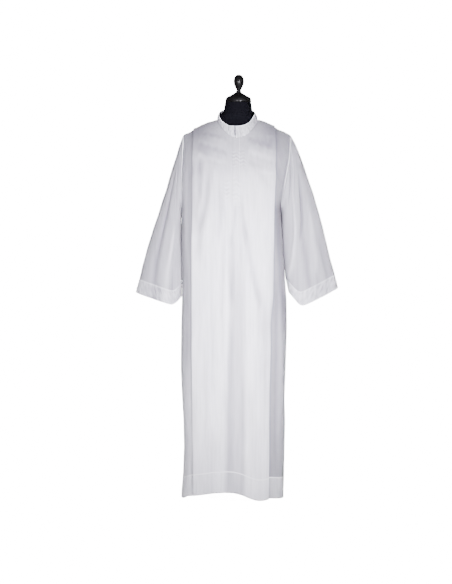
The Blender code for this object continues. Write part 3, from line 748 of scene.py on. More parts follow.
def half_front(fold, edge, middle, gap, inward):
    """Columns of one half of the front, from its side seam over the pleat to the slit: x, height."""
    under = fold + inward * PLEAT_UNDER
    start = fold + inward * FOLD_REACH
    columns = [(spread(under, edge, middle, share), 0.0 * gap)
               for share in np.linspace(1.0, 0.0, SIDE_COLUMNS)]
    columns += [(under + inward * gap / 2.0 * math.cos(turn), gap / 2.0 * (1.0 + math.sin(turn)))
                for turn in FOLD_ARC]
    columns += [(under + inward * (FOLD_REACH - PLEAT_UNDER) * share, gap) for share in (0.0, 0.5, 1.0)]
    columns += [(fold - inward * gap / 2.0 * math.cos(turn), gap * 1.5 + gap / 2.0 * math.sin(turn))
                for turn in FOLD_ARC]
    columns += [(start + (CENTRE - inward * SLIT_HALF - start) * share, 2.0 * gap)
                for share in np.linspace(0.0, 1.0, FLAT_COLUMNS)]
    return columns


def front_shade(x, z, out, gap, fold_left, fold_right, right):
    """Painted shading of the front: beside and inside the pleats, down the middle and at the neck."""
    # under each pleat's edge: a wide soft shadow and a narrow one
    outside = unit_range(np.maximum(fold_left - x, x - fold_right))
    wide = np.where(x < 0.0, 0.24 * read(LEFT_WIDE, z), 0.76)
    near = np.where(x < 0.0, read(LEFT_NEAR, z), 0.60)
    under = (wide * np.exp(-outside / 0.013) + near * np.exp(-outside / 0.0025)) * (out < gap * 1.2)
    # painted shade down the middle of the skirt, where it hangs back, wide and soft, from the hem to the
    # waist
    start = -0.040 - 0.030 * unit_range((0.80 - z) / 0.50)
    hollow_shade = smooth(unit_range((x - start) / 0.030) * unit_range((0.044 - x) / 0.032))
    hollow_shade = 0.42 * hollow_shade * unit_range((1.03 - z) / 0.22)
    # the right side panel, in the shadow of the sleeve
    beside = unit_range((x - right + 0.034) / 0.012)
    beside = beside * unit_range((z - 0.62) / 0.10) * unit_range((1.20 - z) / 0.04)
    # painted shade just inside the folds, where the flat cloth turns away
    inside = read(RIGHT_FOLD_SHADE, z) * np.exp(-unit_range(fold_right - x) / 0.011)
    inside = inside + read(LEFT_FOLD_SHADE, z) * np.exp(-unit_range(x - fold_left) / 0.010)
    neck = 0.15 * bell(z, neck_seam(x), 0.004) * (z > 1.42)
    return under + hollow_shade + 0.50 * beside + inside * (out > gap * 1.2) + neck


def make_front():
    rows = panel_rows(*FRONT_ROWS)
    left, right = line_x(-1, BODY, 1, rows), line_x(-1, BODY, 2, rows)
    fold_left, fold_right = line_x(-1, PLEAT, 1, rows), line_x(-1, PLEAT, 2, rows)
    middle = (left + right) / 2.0
    gap = read(PLEAT, body_point(-1, fold_left, rows)[..., 2], 3)
    columns = half_front(fold_left, left, middle, gap, 1.0)
    split = len(columns)
    columns += half_front(fold_right, right, middle, gap, -1.0)[::-1]
    x = np.stack([c[0] for c in columns], axis=1)
    out = np.stack([c[1] for c in columns], axis=1)
    gap, fold_left, fold_right, right = (line[:, None] for line in (gap, fold_left, fold_right, right))
    _, base, normal, distance = panel(-1, x, rows)
    z = base[..., 2]
    sink = folds(FRONT_FOLDS, x, z) * settings().fold_strength
    gathers = puckers(x, z)
    fine = soft_noise(x, z * 0.35, 0.050, 3) * 0.0006 + soft_noise(x, z, 0.030, 8) * 0.0003
    firm = firm_edges(x.shape[1])
    double, line = hem_marks(distance, HEM_DEPTH)
    lift = out - (sink + gathers + fine) * firm - HEM_SINK * line * firm
    points = base + normal * lift[..., None]
    across = np.linalg.norm(np.diff(points, axis=1), axis=-1)
    flat_x = np.concatenate([[0.0], np.cumsum(across, axis=1).mean(axis=0)])
    uv = np.stack([np.repeat(flat_x[None], len(rows), 0), distance], -1)
    skip = np.zeros((x.shape[0] - 1, x.shape[1] - 1), bool)
    skip[:, split - 1] = z[:-1, split - 1] > SLIT_END
    # outside the pleats the cloth lies in one layer and lets the dark inside show; the same mark paints
    # shade on the side panels, less of it low on the left one
    lower = np.where(x < 0.0, 0.34 + 0.66 * unit_range((z - 0.30) / 0.30), 1.0)
    single_and_shaded = (out < gap * 0.5) * (1.0 - 0.55 * double) * lower
    shade = shade_of(sink) + 100.0 * gathers + chest_shade(x, z) * (1.0 - 0.75 * single_and_shaded)
    shade = shade + front_shade(x, z, out, gap, fold_left, fold_right, right)
    marks = {"double": double * 0.5, "thread_and_highlight": line, "sheer_and_shade": single_and_shaded, "shade": np.clip(shade, 0.0, 0.8)}
    return sheet_mesh("robe_front", points, uv, marks, skip=skip)


def make_back():
    rows = panel_rows(*BACK_ROWS)
    left, right = line_x(1, BODY, 1, rows), line_x(1, BODY, 2, rows)
    middle = (left + right) / 2.0
    shares = np.linspace(0.0, 1.0, BACK_COLUMNS)
    x = np.concatenate([np.stack([spread(middle, left, middle, s) for s in shares[::-1]], 1),
                        np.stack([spread(middle, right, middle, s) for s in shares[1:]], 1)], axis=1)
    level, base, normal, distance = panel(1, x, rows)
    z = base[..., 2]
    double, line = hem_marks(distance, HEM_DEPTH)
    fine = soft_noise(x, z * 0.35, 0.050, 5) * 0.0006
    sink = folds(BACK_FOLDS, x, z) * settings().fold_strength
    # the slope rises to lie level with the front's pleats at the shoulder seams
    rise = 2.0 * read(PLEAT, z, 3) * unit_range((level - 1.0) / 0.6) * between(x, -0.190, 0.160, 0.030)
    lift = rise - (sink + fine + HEM_SINK * line) * firm_edges(x.shape[1])
    points = base + normal * lift[..., None]
    uv = np.stack([x, distance], -1)
    marks = {"double": double * 0.5, "thread_and_highlight": line, "sheer_and_shade": 0.45 * (1.0 - double), "shade": shade_of(sink)}
    return sheet_mesh("robe_back", points, uv, marks)


def armhole(column, angles):
    """Points of the armhole edge: angle from the shoulder point, the front positive."""
    side_points = []
    for side in (-1, 1):
        top = float(read(SHOULDER, read(BODY, 1.45, column), 1))
        aim = UNDERARM + (top - UNDERARM) * (0.5 + 0.5 * np.cos(angles))
        low, high = np.full_like(angles, 0.5), np.full_like(angles, 2.0)
        for _ in range(24):
            row = (low + high) / 2.0
            below = body_point(side, line_x(side, BODY, column, row), row)[..., 2] < aim
            low = np.where(below, row, low)
            high = np.where(below, high, row)
        side_points.append(body_point(side, line_x(side, BODY, column, row), row))
    return np.where((angles >= 0.0)[:, None], side_points[0], side_points[1])


def beside_body(points, outwards):
    """Keeps a sleeve's inner side lying flat against the body, a hair's breadth off it."""
    x, y, z = points[..., 0], points[..., 1], points[..., 2]
    low = np.minimum(z, UNDERARM)
    left, right = read(BODY, low, 1), read(BODY, low, 2)
    depth = np.where(y < 0.0, read(BODY, low, 3), read(BODY, low, 4))
    reach = (1.0 - np.clip(np.abs(y) / depth, 0.0, 0.95) ** ROUND) ** (1.0 / ROUND)
    edge = (left + right) / 2.0 + outwards * ((right - left) / 2.0 * reach + 0.0016)
    pressed = np.maximum(x * outwards, edge * outwards) * outwards
    return np.where(z < UNDERARM - 0.004, pressed, x)


def sleeve_folds(table, s, a, place, width):
    """How far a sleeve sinks at each point, from all the rows of its fold table."""
    sink = np.zeros_like(s)
    for face, s1, p1, s2, p2, bow, wide, depth in table:
        share = (s - s1) / (s2 - s1)
        inside = unit_range((share + 0.15) / 0.40)
        if s2 < 1.0:
            inside = inside * unit_range((1.15 - share) / 0.40)
        along = unit_range(share)
        away = (place - (p1 + (p2 - p1) * along + 4.0 * bow * along * (1.0 - along))) * width / wide
        sink += depth * smooth(inside) * bell(away, 0.0, 1.0) * (np.sign(np.sin(a)) == face)
    return sink * settings().fold_strength


def make_sleeve(name, table, fold_table, column):
    """A sleeve from its table: column 1 is the left one, 2 the right one."""
    left_one = column == 1
    outwards = -1.0 if left_one else 1.0
    share = np.concatenate([[0.0]] + [np.linspace(*span)[1:] for span in SLEEVE_ROWS])
    angle = -math.pi + 2.0 * math.pi * (np.arange(SLEEVE_COLUMNS) + 0.5) / SLEEVE_COLUMNS
    s, a = np.meshgrid(share, angle, indexing="ij")
    outer = np.stack([read(table, s, 1), read(table, s, 6), read(table, s, 2)], -1)
    inner = np.stack([read(table, s, 3), read(table, s, 6), read(table, s, 4)], -1)
    middle, reach = (outer + inner) / 2.0, (outer - inner) / 2.0
    power = 0.60 + 0.25 * unit_range(s / 0.25)
    points = middle + reach * np.cos(a)[..., None]
    points[..., 1] -= read(table, s, 5) * np.sign(np.sin(a)) * np.abs(np.sin(a)) ** power
    # the cuff hangs lowest at its corner
    drop, corner = CUFF_DROOP[column - 1]
    place = (1.0 - np.cos(a)) / 2.0
    near, far = np.maximum(place, 0.001) / corner, np.maximum(1.0 - place, 0.001) / (1.0 - corner)
    droop = 1.15 * (near ** -5.0 + far ** -5.0) ** -0.2
    points[..., 2] -= drop * droop * unit_range((s - 0.6) / 0.4) ** 1.5
    # it eases into the armhole's edge, a hair's breadth off it
    start = armhole(column, angle)
    start[:, 0] += outwards * 0.0006
    ease = unit_range(s / 0.10)[..., None]
    points = start[None] * (1.0 - ease) + points * ease
    across = np.roll(points, -1, axis=1) - np.roll(points, 1, axis=1)
    normal = unit(np.cross(across, np.gradient(points, axis=0)))
    if (normal * (points - points.mean(axis=1, keepdims=True))).sum() < 0.0:
        normal = -normal
    distance = along_length(points)
    sink = sleeve_folds(fold_table, s, a, place, 2.0 * np.linalg.norm(reach, axis=-1))
    # the seam stands up along the armhole, and the cuff waves a little
    ridge = 0.0070 * bell(distance, 0.012, 0.0065) * unit_range(np.abs(np.sin(a)) * 1.6)
    cuff = distance[-1:] - distance
    double, line = hem_marks(cuff, CUFF_HEM)
    crumple = soft_noise(a * 0.08, distance, 0.022, 31 + column)
    fine = soft_noise(a * 0.07, distance * 0.35, 0.045, 11 + column) * 0.0006 + 0.0012 * double * crumple
    wave = np.sin(a * 9.0 + np.sin(a * 4.0) * 2.0) * 0.0010 * unit_range(1.0 - cuff / 0.05)
    points = points + normal * (ridge - sink - fine - 0.0008 * line + wave)[..., None]
    points[..., 0] = beside_body(points, outwards)
    uv = np.stack([a * 0.075, distance], -1)
    # painted highlight on the seam's ridge in front, painted shade along the armhole seam, and on the strip
    # by the body painted light for the left sleeve and painted shade for the right one
    front = np.sin(a) > 0.0
    lit = bell(distance, 0.011, 0.0035) * unit_range(np.sin(a) * 6.0)
    lit = lit * (0.85 if left_one else 0.60 * unit_range((points[..., 2] - 1.22) / 0.06))
    by_body = unit_range((place - 0.90) / 0.08) * front * (1.0 - double)
    by_body = by_body * (-0.10 if left_one else 0.34) * unit_range(s / 0.1)
    seam = 0.55 * bell(distance, 0.0, 0.004)
    # one layer lets the dark inside show; the same mark also paints shade over the sleeves, a little more on
    # the left one, and takes it off in painted highlights on the ridges of folds, on the seam's ridge and on
    # the left sleeve's strip by the body
    sheer_and_shade = (1.0 - 0.58 * double) * (1.0 if left_one else 0.92) * (1.0 - 0.9 * lit)
    sheer_and_shade = sheer_and_shade * (1.0 + np.clip(sink / 0.012, -0.5, 0.0) + np.clip(4.0 * by_body, -0.4, 0.0))
    shade = np.clip(shade_of(sink) * (1.0 - double) + seam + by_body, 0.0, 0.6)
    shade = shade + double * (read(CUFF_TONE, place, column) * front + 0.26 * np.clip(crumple, -0.5, 1.0))
    marks = {"double": 0.60 * double, "thread_and_highlight": np.maximum(0.45 * line, lit), "sheer_and_shade": sheer_and_shade, "shade": shade}
    return sheet_mesh(name, points, uv, marks, ring=True)


# a row for each bearing from the centre front: bearing, rim's height
RIM_LINE = np.array((
    (-180.0, 1.5600), (-150.0, 1.5590), (-120.0, 1.5520), (-90.0, 1.5370), (-72.0, 1.5215),
    (-53.0, 1.5050), (-39.0, 1.4960), (-29.0, 1.4895), (-22.0, 1.4880), (-6.0, 1.4868),
    (6.0, 1.4868), (14.0, 1.4888), (26.0, 1.4920), (38.0, 1.4990), (50.0, 1.5090),
    (60.0, 1.5200), (75.0, 1.5350), (90.0, 1.5425), (120.0, 1.5530), (150.0, 1.5590), (180.0, 1.5600),
))
# the rim: centre x, half width, depth to the front, depth to the back
RIM = (-0.0048, 0.0705, 0.0770, 0.0560)
COLLAR_START = -6.9      # bearing of the band's opening, and half its width, degrees
COLLAR_GAP = 0.75


def make_collar():
    whole = 360.0 - 2.0 * COLLAR_GAP
    bearing = COLLAR_START + COLLAR_GAP + whole * np.linspace(0.0, 1.0, COLLAR_COLUMNS)
    bearing = np.where(bearing <= 180.0, bearing, bearing - 360.0)
    angle = np.radians(bearing)
    front = np.abs(bearing) <= 90.0
    x = NECK[0] + NECK[1] * 0.9995 * np.sin(angle)
    edges = []
    for side in (-1, 1):
        edge = body_point(side, x, 2.0)
        over = 2.0 * read(PLEAT, edge[..., 2], 3)
        edges.append(edge + body_normal(side, x, np.full_like(x, 2.0)) * over[:, None])
    inward = np.stack([-np.sin(angle), np.cos(angle), 0.0 * angle], -1)
    lower = np.where(front[:, None], edges[0], edges[1]) + inward * 0.0014 + np.array([0.0, 0.0, -0.0004])
    upper = np.stack([RIM[0] + RIM[1] * np.sin(angle),
                      -np.where(front, RIM[2], RIM[3]) * np.cos(angle),
                      read(RIM_LINE, bearing)], -1)
    height, turn = np.meshgrid(np.linspace(0.0, 1.0, COLLAR_ROWS), bearing, indexing="ij")
    points = lower[None] * (1.0 - height[..., None]) + upper[None] * height[..., None]
    # the band is round across its height, with two creases and small gathers
    bulge = 0.0022 * np.sin(math.pi * height) ** 0.8
    crease = 0.0016 * bell(turn, -27.0, 2.0) * unit_range(height * 1.6) + 0.0010 * bell(turn, 9.0, 2.0)
    gather = 0.0007 * np.sin(turn * 0.55 + 3.0 * height) * (1.0 - height)
    gather = gather + 0.0012 * soft_noise(turn * 0.0022, height * 0.04, 0.016, 51)
    span = np.linalg.norm(upper - lower, axis=-1)[None]
    from_top, from_foot = span * (1.0 - height), span * height
    stitch = bell(from_top, 0.0050, 0.0011) + bell(from_foot, 0.0045, 0.0011)
    points = points - inward[None] * (bulge - crease + gather - 0.0005 * stitch)[..., None]
    run = np.concatenate([[0.0], np.cumsum(np.linalg.norm(np.diff(upper, axis=0), axis=-1))])
    uv = np.stack([np.repeat(run[None], COLLAR_ROWS, 0), from_foot], -1)
    # painted shade over the band: all over, at its foot, in the creases, towards the sides, lighter and
    # darker with the gathers, and dark in the slit; the rim gets a painted highlight and loses the shade
    # there
    rim = bell(from_top, 0.0, 0.0034)
    shade = 0.18 + 0.175 * bell(from_foot, 0.0, 0.0022) + 300.0 * crease
    shade = shade + 0.36 * unit_range(np.abs(turn) / 60.0 - 0.35)
    shade = shade + 0.22 * np.clip(gather / 0.0012, -0.8, 1.0)
    from_slit = np.minimum(run, run[-1] - run)[None]
    shade = shade * (1.0 - 0.9 * rim) + 0.9 * bell(from_slit, 0.0, 0.0016) * (height > 0.22)
    marks = {"double": 1.0 + 0.0 * rim, "thread_and_highlight": rim, "sheer_and_shade": 0.0 * rim, "shade": shade}
    return sheet_mesh("robe_collar", points, uv, marks)


def make_placket():
    columns = np.linspace(PLACKET_LEFT, PLACKET_RIGHT, PLACKET_COLUMNS)
    foot = (PLACKET_END - CENTRE_HEM) / (CENTRE_TOP - DROP - CENTRE_HEM)
    below, above = PLACKET_ROWS
    rows = np.concatenate([np.linspace(foot, 1.0, below), 1.0 + np.linspace(0.0, 0.985, above)[1:]])
    x = np.repeat(columns[None], len(rows), 0)
    _, base, normal, distance = panel(-1, x, rows)
    z = base[..., 2]
    # a thicker folded edge on the left, a stitch line down each side and two tacks at the foot
    part = (x - PLACKET_LEFT) / (PLACKET_RIGHT - PLACKET_LEFT)
    fold_edge = 0.0013 * unit_range(1.0 - part / 0.30) ** 0.5
    stitch = bell(x, PLACKET_RIGHT - 0.0035, 0.0011)
    edge_stitch = bell(x, PLACKET_LEFT + 0.0030, 0.0009)
    tack = np.maximum(bell(distance, 0.004, 0.0012), bell(distance, 0.022, 0.0012) * 0.7)
    gathers = puckers(x, z)
    sink = folds(FRONT_FOLDS, x, z) * settings().fold_strength + gathers * 1.2
    lift = 2.0 * read(PLEAT, z, 3) + 0.0014 + fold_edge - sink
    lift = lift - 0.0006 * stitch - 0.0005 * tack - 0.0004 * edge_stitch
    points = base + normal * lift[..., None]
    uv = np.stack([x, distance], -1)
    edge = bell(x, PLACKET_LEFT, 0.0012) + bell(x, PLACKET_RIGHT, 0.0012)
    shade = shade_of(sink) + chest_shade(x, z) + 0.20 * edge + 0.10 * stitch + 30.0 * gathers
    marks = {"double": 0.5 + 0.0 * x, "thread_and_highlight": unit_range(0.5 * stitch + 0.4 * tack), "sheer_and_shade": 0.0 * x,
             "shade": np.clip(shade, 0.0, 0.6)}
    return sheet_mesh("robe_placket", points, uv, marks)


# ---- the dress form ----------------------------------------------------------------------------
# a row for each height: height, half width, half depth, centre x
TORSO = np.array((
    (0.780, 0.140, 0.092, -0.004), (0.786, 0.150, 0.100, -0.004), (0.840, 0.160, 0.108, -0.004),
    (0.930, 0.162, 0.108, -0.004), (1.040, 0.150, 0.100, -0.004), (1.150, 0.155, 0.104, -0.004),
    (1.260, 0.163, 0.106, -0.004), (1.340, 0.165, 0.098, -0.004), (1.400, 0.164, 0.084, -0.004),
    (1.435, 0.161, 0.070, -0.004), (1.460, 0.153, 0.050, -0.004), (1.474, 0.143, 0.038, -0.004),
    (1.482, 0.128, 0.033, -0.003), (1.489, 0.108, 0.031, -0.002), (1.495, 0.090, 0.034, -0.001),
    (1.502, 0.074, 0.040, -0.003), (1.511, 0.0685, 0.047, -0.004), (1.524, 0.0675, 0.051, -0.0050),
    (1.534, 0.0665, 0.052, -0.0045), (1.542, 0.0615, 0.052, -0.001), (1.549, 0.0578, 0.052, 0.000),
    (1.560, 0.0556, 0.0530, 0.000), (1.583, 0.0522, 0.0522, 0.000),
))


# a row for each ring of a turned piece: radius, height
CAP = (
    (0.0500, 1.5834), (0.0512, 1.5838), (0.0517, 1.5850), (0.0518, 1.5872), (0.0516, 1.5900),
    (0.0511, 1.5935), (0.0503, 1.5970), (0.0490, 1.6000), (0.0468, 1.6026), (0.0435, 1.6050),
    (0.0385, 1.6076), (0.0335, 1.6102), (0.0290, 1.6128), (0.0250, 1.6152), (0.0210, 1.6176),
    (0.0175, 1.6198), (0.0150, 1.6212), (0.0125, 1.6220),
)
NECK_RING = (
    (0.0104, 1.6223), (0.0112, 1.6232), (0.0113, 1.6246), (0.0106, 1.6262), (0.0096, 1.6280),
    (0.0092, 1.6301),
)
BULB = (
    (0.0088, 1.6304), (0.0092, 1.6318), (0.0100, 1.6340), (0.0114, 1.6372), (0.0134, 1.6408),
    (0.0154, 1.6450), (0.0174, 1.6495), (0.0191, 1.6545), (0.0203, 1.6600), (0.0208, 1.6655),
    (0.0207, 1.6705), (0.0199, 1.6757), (0.0184, 1.6805), (0.0162, 1.6848), (0.0134, 1.6884),
    (0.0102, 1.6910), (0.0066, 1.6927), (0.0030, 1.6935), (0.0006, 1.6937),
)
# painted light: the base and the pole's foot glow with this strength
FOOT_GLOW = 15.0         # the base and the pole's foot are lost against the white floor
FOOT_TOP = 0.045


def make_torso():
    """The jersey cover, with the gathers it has at the foot of the neck."""
    z = np.concatenate([np.linspace(0.780, 1.46, 70), np.linspace(1.46, 1.583, 70)[1:]])
    turn = 2.0 * math.pi * np.arange(TORSO_COLUMNS) / TORSO_COLUMNS
    height, a = np.meshgrid(z, turn, indexing="ij")
    pull = np.sin(height * 520.0 + 3.0 * a + np.sin(a * 5.0)) * 0.0011
    pull = pull * bell(height, 1.540, 0.016) * unit_range(-np.sin(a))
    gather = np.sin(a * 24.0) * 0.0007 * bell(height, 1.530, 0.020)
    x = read(TORSO, height, 3) + (read(TORSO, height, 1) + pull + gather) * np.cos(a)
    y = (read(TORSO, height, 2) + pull + gather) * np.sin(a)
    points = np.stack([x, y, height], -1)
    uv = np.stack([a * 0.16, height], -1)
    thing = sheet_mesh("form_cover", points, uv, {}, ring=True)
    shape = bmesh.new()
    shape.from_mesh(thing.data)
    bmesh.ops.holes_fill(shape, edges=[e for e in shape.edges if e.is_boundary], sides=0)
    bmesh.ops.recalc_face_normals(shape, faces=shape.faces)
    shape.to_mesh(thing.data)
    shape.free()
    return thing


def turned(name, rings, centre, count):
    """A turned piece: a disc drawn up ring by ring, each ring let out or drawn in to its radius."""
    bpy.ops.object.select_all(action="DESELECT")
    radius, height = rings[0]
    bpy.ops.mesh.primitive_circle_add(vertices=count, radius=radius, fill_type="NGON",
                                      location=(centre[0], centre[1], height))
    piece = bpy.context.active_object
    piece.name = name
    piece.data.name = name
    bpy.ops.object.mode_set(mode="EDIT")
    bpy.ops.mesh.select_mode(type="FACE")
    bpy.ops.mesh.select_all(action="SELECT")
    for wide, high in rings[1:]:
        bpy.ops.mesh.extrude_region_move(TRANSFORM_OT_translate={"value": (0.0, 0.0, high - height)})
        bpy.ops.transform.resize(value=(wide / radius, wide / radius, 1.0),
                                 center_override=(centre[0], centre[1], high))
        radius, height = wide, high
    bpy.ops.mesh.select_all(action="SELECT")
    bpy.ops.mesh.normals_make_consistent(inside=False)
    bpy.ops.object.mode_set(mode="OBJECT")
    bpy.ops.object.transform_apply(location=True, rotation=True, scale=True)
    bpy.ops.object.shade_smooth_by_angle(angle=math.radians(50.0))
    return piece


# ---- the add-on --------------------------------------------------------------------------------
class AlbCloth(bpy.types.PropertyGroup):
    wall: bpy.props.FloatProperty(name="Wall", description="Thickness of the poplin",
                                  default=0.0008, unit="LENGTH")
    collar_wall: bpy.props.FloatProperty(name="Collar wall", description="Thickness of the band",
                                         default=0.0022, unit="LENGTH")
    fold_strength: bpy.props.FloatProperty(name="Folds", description="Depth of all the folds",
                                           default=1.0, subtype="FACTOR")
    poplin_colour: bpy.props.FloatVectorProperty(name="Poplin", description="Colour of the robe's cloth",
                                                 default=(0.765, 0.760, 0.800), size=3, min=0.0,
                                                 max=1.0, subtype="COLOR")
    jersey_colour: bpy.props.FloatVectorProperty(name="Jersey", description="Colour of the form's cover",
                                                 default=(0.0046, 0.0044, 0.0070), size=3, min=0.0,
                                                 max=1.0, subtype="COLOR")


class AlbStudio(bpy.types.PropertyGroup):
    camera_height: bpy.props.FloatProperty(name="Camera height", description="Above the floor",
                                           default=1.20, unit="LENGTH")
    camera_distance: bpy.props.FloatProperty(name="Camera distance", description="From the pole",
                                             default=6.0, unit="LENGTH")
    rim: bpy.props.FloatProperty(name="Rim", description="Power of the side and back boxes",
                                 default=40.0, unit="POWER")
    key: bpy.props.FloatProperty(name="Key", description="Power of the two front boxes",
                                 default=14.8, unit="POWER")


class ALB_OT_front(bpy.types.Operator):
    """Makes the pleated front panel"""
    bl_idname = "alb.front"
    bl_label = "Front"

    def execute(self, context):
        thing = make_front()
        sew(thing, (0.0, 0.0, 0.8), settings().wall, "front")
        return {"FINISHED"}


class ALB_OT_back(bpy.types.Operator):
    """Makes the plain back panel"""
    bl_idname = "alb.back"
    bl_label = "Back"

    def execute(self, context):
        thing = make_back()
        sew(thing, (0.0, 0.0, 0.8), settings().wall, "back")
        return {"FINISHED"}


class ALB_OT_sleeves(bpy.types.Operator):
    """Makes the two wide sleeves with their turned cuffs"""
    bl_idname = "alb.sleeves"
    bl_label = "Sleeves"

    def execute(self, context):
        for name, table, fold_table, column, inside, node in (
                ("robe_sleeve_left", SLEEVE_LEFT, LEFT_FOLDS, 1, (-0.30, 0.0, 1.0), "sleeve_left"),
                ("robe_sleeve_right", SLEEVE_RIGHT, RIGHT_FOLDS, 2, (0.27, 0.0, 1.0), "sleeve_right")):
            thing = make_sleeve(name, table, fold_table, column)
            sew(thing, inside, settings().wall, node)
        return {"FINISHED"}


class ALB_OT_neckline(bpy.types.Operator):
    """Makes the standing collar and the fly strip over the zip"""
    bl_idname = "alb.neckline"
    bl_label = "Collar and fly"

    def execute(self, context):
        collar = make_collar()
        sew(collar, (0.0, 0.0, 1.51), settings().collar_wall, "collar")
        placket = make_placket()
        sew(placket, (0.0, 0.0, 1.3), settings().wall, "placket")
        return {"FINISHED"}


class ALB_OT_form(bpy.types.Operator):
    """Makes the form's jersey cover, turned cap and finial, and finishes the stand"""
    bl_idname = "alb.form"
    bl_label = "Dress form"

    def execute(self, context):
        dress(make_torso(), jersey(), "black_jersey", "form_torso")
        cap = turned("form_cap", CAP, (0.001, 0.0), 72)
        dress(cap, lacquer(), "black_lacquer", "neck_cap")
        bulb = turned("form_finial", BULB, (0.003, 0.0), 56)
        dress(bulb, lacquer(), "black_lacquer", "finial")
        ring = turned("form_ring", NECK_RING, (0.002, 0.0), 56)
        grey = metal("grey_metal", (0.040, 0.040, 0.042), (0.025, 0.025, 0.026), 1.0)
        steel = metal("black_steel", (0.030, 0.030, 0.032), (0.014, 0.014, 0.015), 0.0)
        # painted light: the pole's foot below FOOT_TOP and the whole base glow white, and the base is hidden
        # from diffuse rays
        split = steel.add("ShaderNodeSeparateXYZ")
        steel.tree.links.new(steel.place(), split.inputs[0])
        steel.glow(steel.maths("MULTIPLY", steel.maths("LESS_THAN", split.outputs[2], FOOT_TOP), FOOT_GLOW))
        pale = metal("pale_paint", (0.90, 0.90, 0.90), (0.84, 0.84, 0.84), 0.0)
        pale.glow(FOOT_GLOW)
        dress(ring, grey.material, "grey_metal", "finial_ring")
        for node, surface in (("pole", steel), ("base", pale)):
            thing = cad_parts[node]
            for slot in thing.material_slots:
                slot.material = surface.material
            thing.visible_diffuse = node != "base"
        return {"FINISHED"}


CAMERA_X = -0.048
CAMERA_DOWN = 3.5477     # degrees
LENS = 92.466            # mm, on a sensor of 36 mm
BACKDROP_GLOW = 16.6
FLOOR_GLOW = 16.4
WHITE = (1.0, 1.0, 1.0, 1.0)
LAMP_COLOUR = (0.955, 0.938, 1.0)
KEY_SPREAD = 34.0        # degrees


def soft_box(name, where, aim, size, energy):
    """A tall area light that the camera doesn't see."""
    light = bpy.data.lights.new(name, "AREA")
    light.shape = "RECTANGLE"
    light.size, light.size_y = size
    light.energy = energy
    light.color = LAMP_COLOUR
    lamp = bpy.data.objects.new(name, light)
    bpy.context.scene.collection.objects.link(lamp)
    lamp.location = where
    lamp.rotation_euler = (Vector(aim) - Vector(where)).to_track_quat("-Z", "Y").to_euler()
    lamp.visible_camera = False
    return lamp


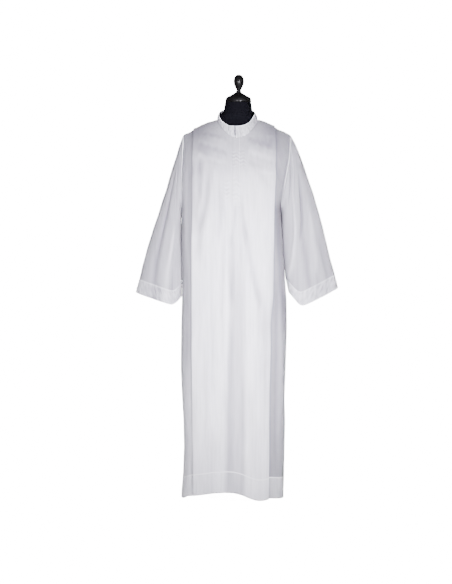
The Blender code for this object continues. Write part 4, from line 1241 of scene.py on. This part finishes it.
class ALB_OT_studio(bpy.types.Operator):
    """Sets up the white ground and backdrop, the six soft boxes, the sky and the camera"""
    bl_idname = "alb.studio"
    bl_label = "Studio"

    def execute(self, context):
        studio = context.scene.alb_studio
        camera_data = bpy.data.cameras.new("camera")
        camera = bpy.data.objects.new("camera", camera_data)
        context.scene.collection.objects.link(camera)
        camera.location = (CAMERA_X, -studio.camera_distance, studio.camera_height)
        camera.rotation_euler = (math.radians(90.0 - CAMERA_DOWN), 0.0, 0.0)
        camera_data.sensor_width = 36.0
        camera_data.lens = LENS
        context.scene.camera = camera

        white = Graph("studio_white")
        glow = white.add("ShaderNodeEmission")
        glow.inputs["Color"].default_value = WHITE
        glow.inputs["Strength"].default_value = BACKDROP_GLOW
        white.join(glow, 0, white.out, 0)
        bpy.ops.mesh.primitive_cylinder_add(vertices=96, radius=16.0, depth=24.0, end_fill_type="NOTHING",
                                            location=(0.0, 0.0, 11.9))
        wall = context.active_object
        wall.name = "studio_backdrop"
        wall.data.materials.append(white.material)
        wall.visible_transmission = False
        wall.visible_shadow = False

        pale = Graph("studio_floor")
        pale.set("Base Color", (0.92, 0.92, 0.92, 1.0))
        pale.set("Roughness", 0.9)
        pale.glow(FLOOR_GLOW)
        bpy.ops.mesh.primitive_plane_add(size=1.0, location=(0.0, 0.0, 0.0))
        floor = context.active_object
        floor.name = "studio_floor"
        floor.scale = (33.0, 33.0, 1.0)
        floor.data.materials.append(pale.material)
        for thing in (wall, floor):
            thing.visible_diffuse = False
            thing.visible_glossy = False

        for name, x, z, power in (("key_left", -0.70, 0.85, 0.64), ("key_right", 0.85, 0.87, 1.10)):
            lamp = soft_box(name, (x, -2.7, z), (-0.01, 0.0, z), (0.26, 1.45), studio.key * power)
            lamp.data.spread = math.radians(KEY_SPREAD)
        for name, x, y, power in (("rim_left", -2.3, 0.25, 1.0), ("rim_right", 2.3, 0.25, 1.0),
                                  ("back_left", -1.3, 3.2, 3.2), ("back_right", 1.1, 3.4, 2.4)):
            lamp = soft_box(name, (x, y, 0.9), (0.0, 0.0, 0.9), (0.6, 1.8), studio.rim * power)
            lamp.visible_glossy = False
        world = bpy.data.worlds.new("studio")
        context.scene.world = world
        world.use_nodes = True
        sky = world.node_tree.nodes["Background"]
        sky.inputs["Color"].default_value = (0.93, 0.94, 1.0, 1.0)
        sky.inputs["Strength"].default_value = 0.10
        return {"FINISHED"}


class ALB_PT_panel(bpy.types.Panel):
    bl_idname = "ALB_PT_panel"
    bl_label = "Alb robe"
    bl_space_type = "VIEW_3D"
    bl_region_type = "UI"
    bl_category = "Alb"

    def draw(self, context):
        for group in (context.scene.alb_cloth, context.scene.alb_studio):
            for name in group.bl_rna.properties.keys():
                if name not in ("rna_type", "name"):
                    self.layout.prop(group, name)
        for kind in OPERATORS:
            self.layout.operator(kind.bl_idname)


GROUPS = (AlbCloth, AlbStudio)
OPERATORS = (ALB_OT_front, ALB_OT_back, ALB_OT_sleeves, ALB_OT_neckline, ALB_OT_form, ALB_OT_studio)


def register():
    for kind in (*GROUPS, *OPERATORS, ALB_PT_panel):
        bpy.utils.register_class(kind)
    bpy.types.Scene.alb_cloth = bpy.props.PointerProperty(type=AlbCloth)
    bpy.types.Scene.alb_studio = bpy.props.PointerProperty(type=AlbStudio)


def unregister():
    del bpy.types.Scene.alb_studio
    del bpy.types.Scene.alb_cloth
    for kind in reversed((*GROUPS, *OPERATORS, ALB_PT_panel)):
        bpy.utils.unregister_class(kind)


def main():
    register()
    bpy.ops.alb.front()
    bpy.ops.alb.back()
    bpy.ops.alb.sleeves()
    bpy.ops.alb.neckline()
    bpy.ops.alb.form()
    bpy.ops.alb.studio()


if __name__ == "__main__":
    main()
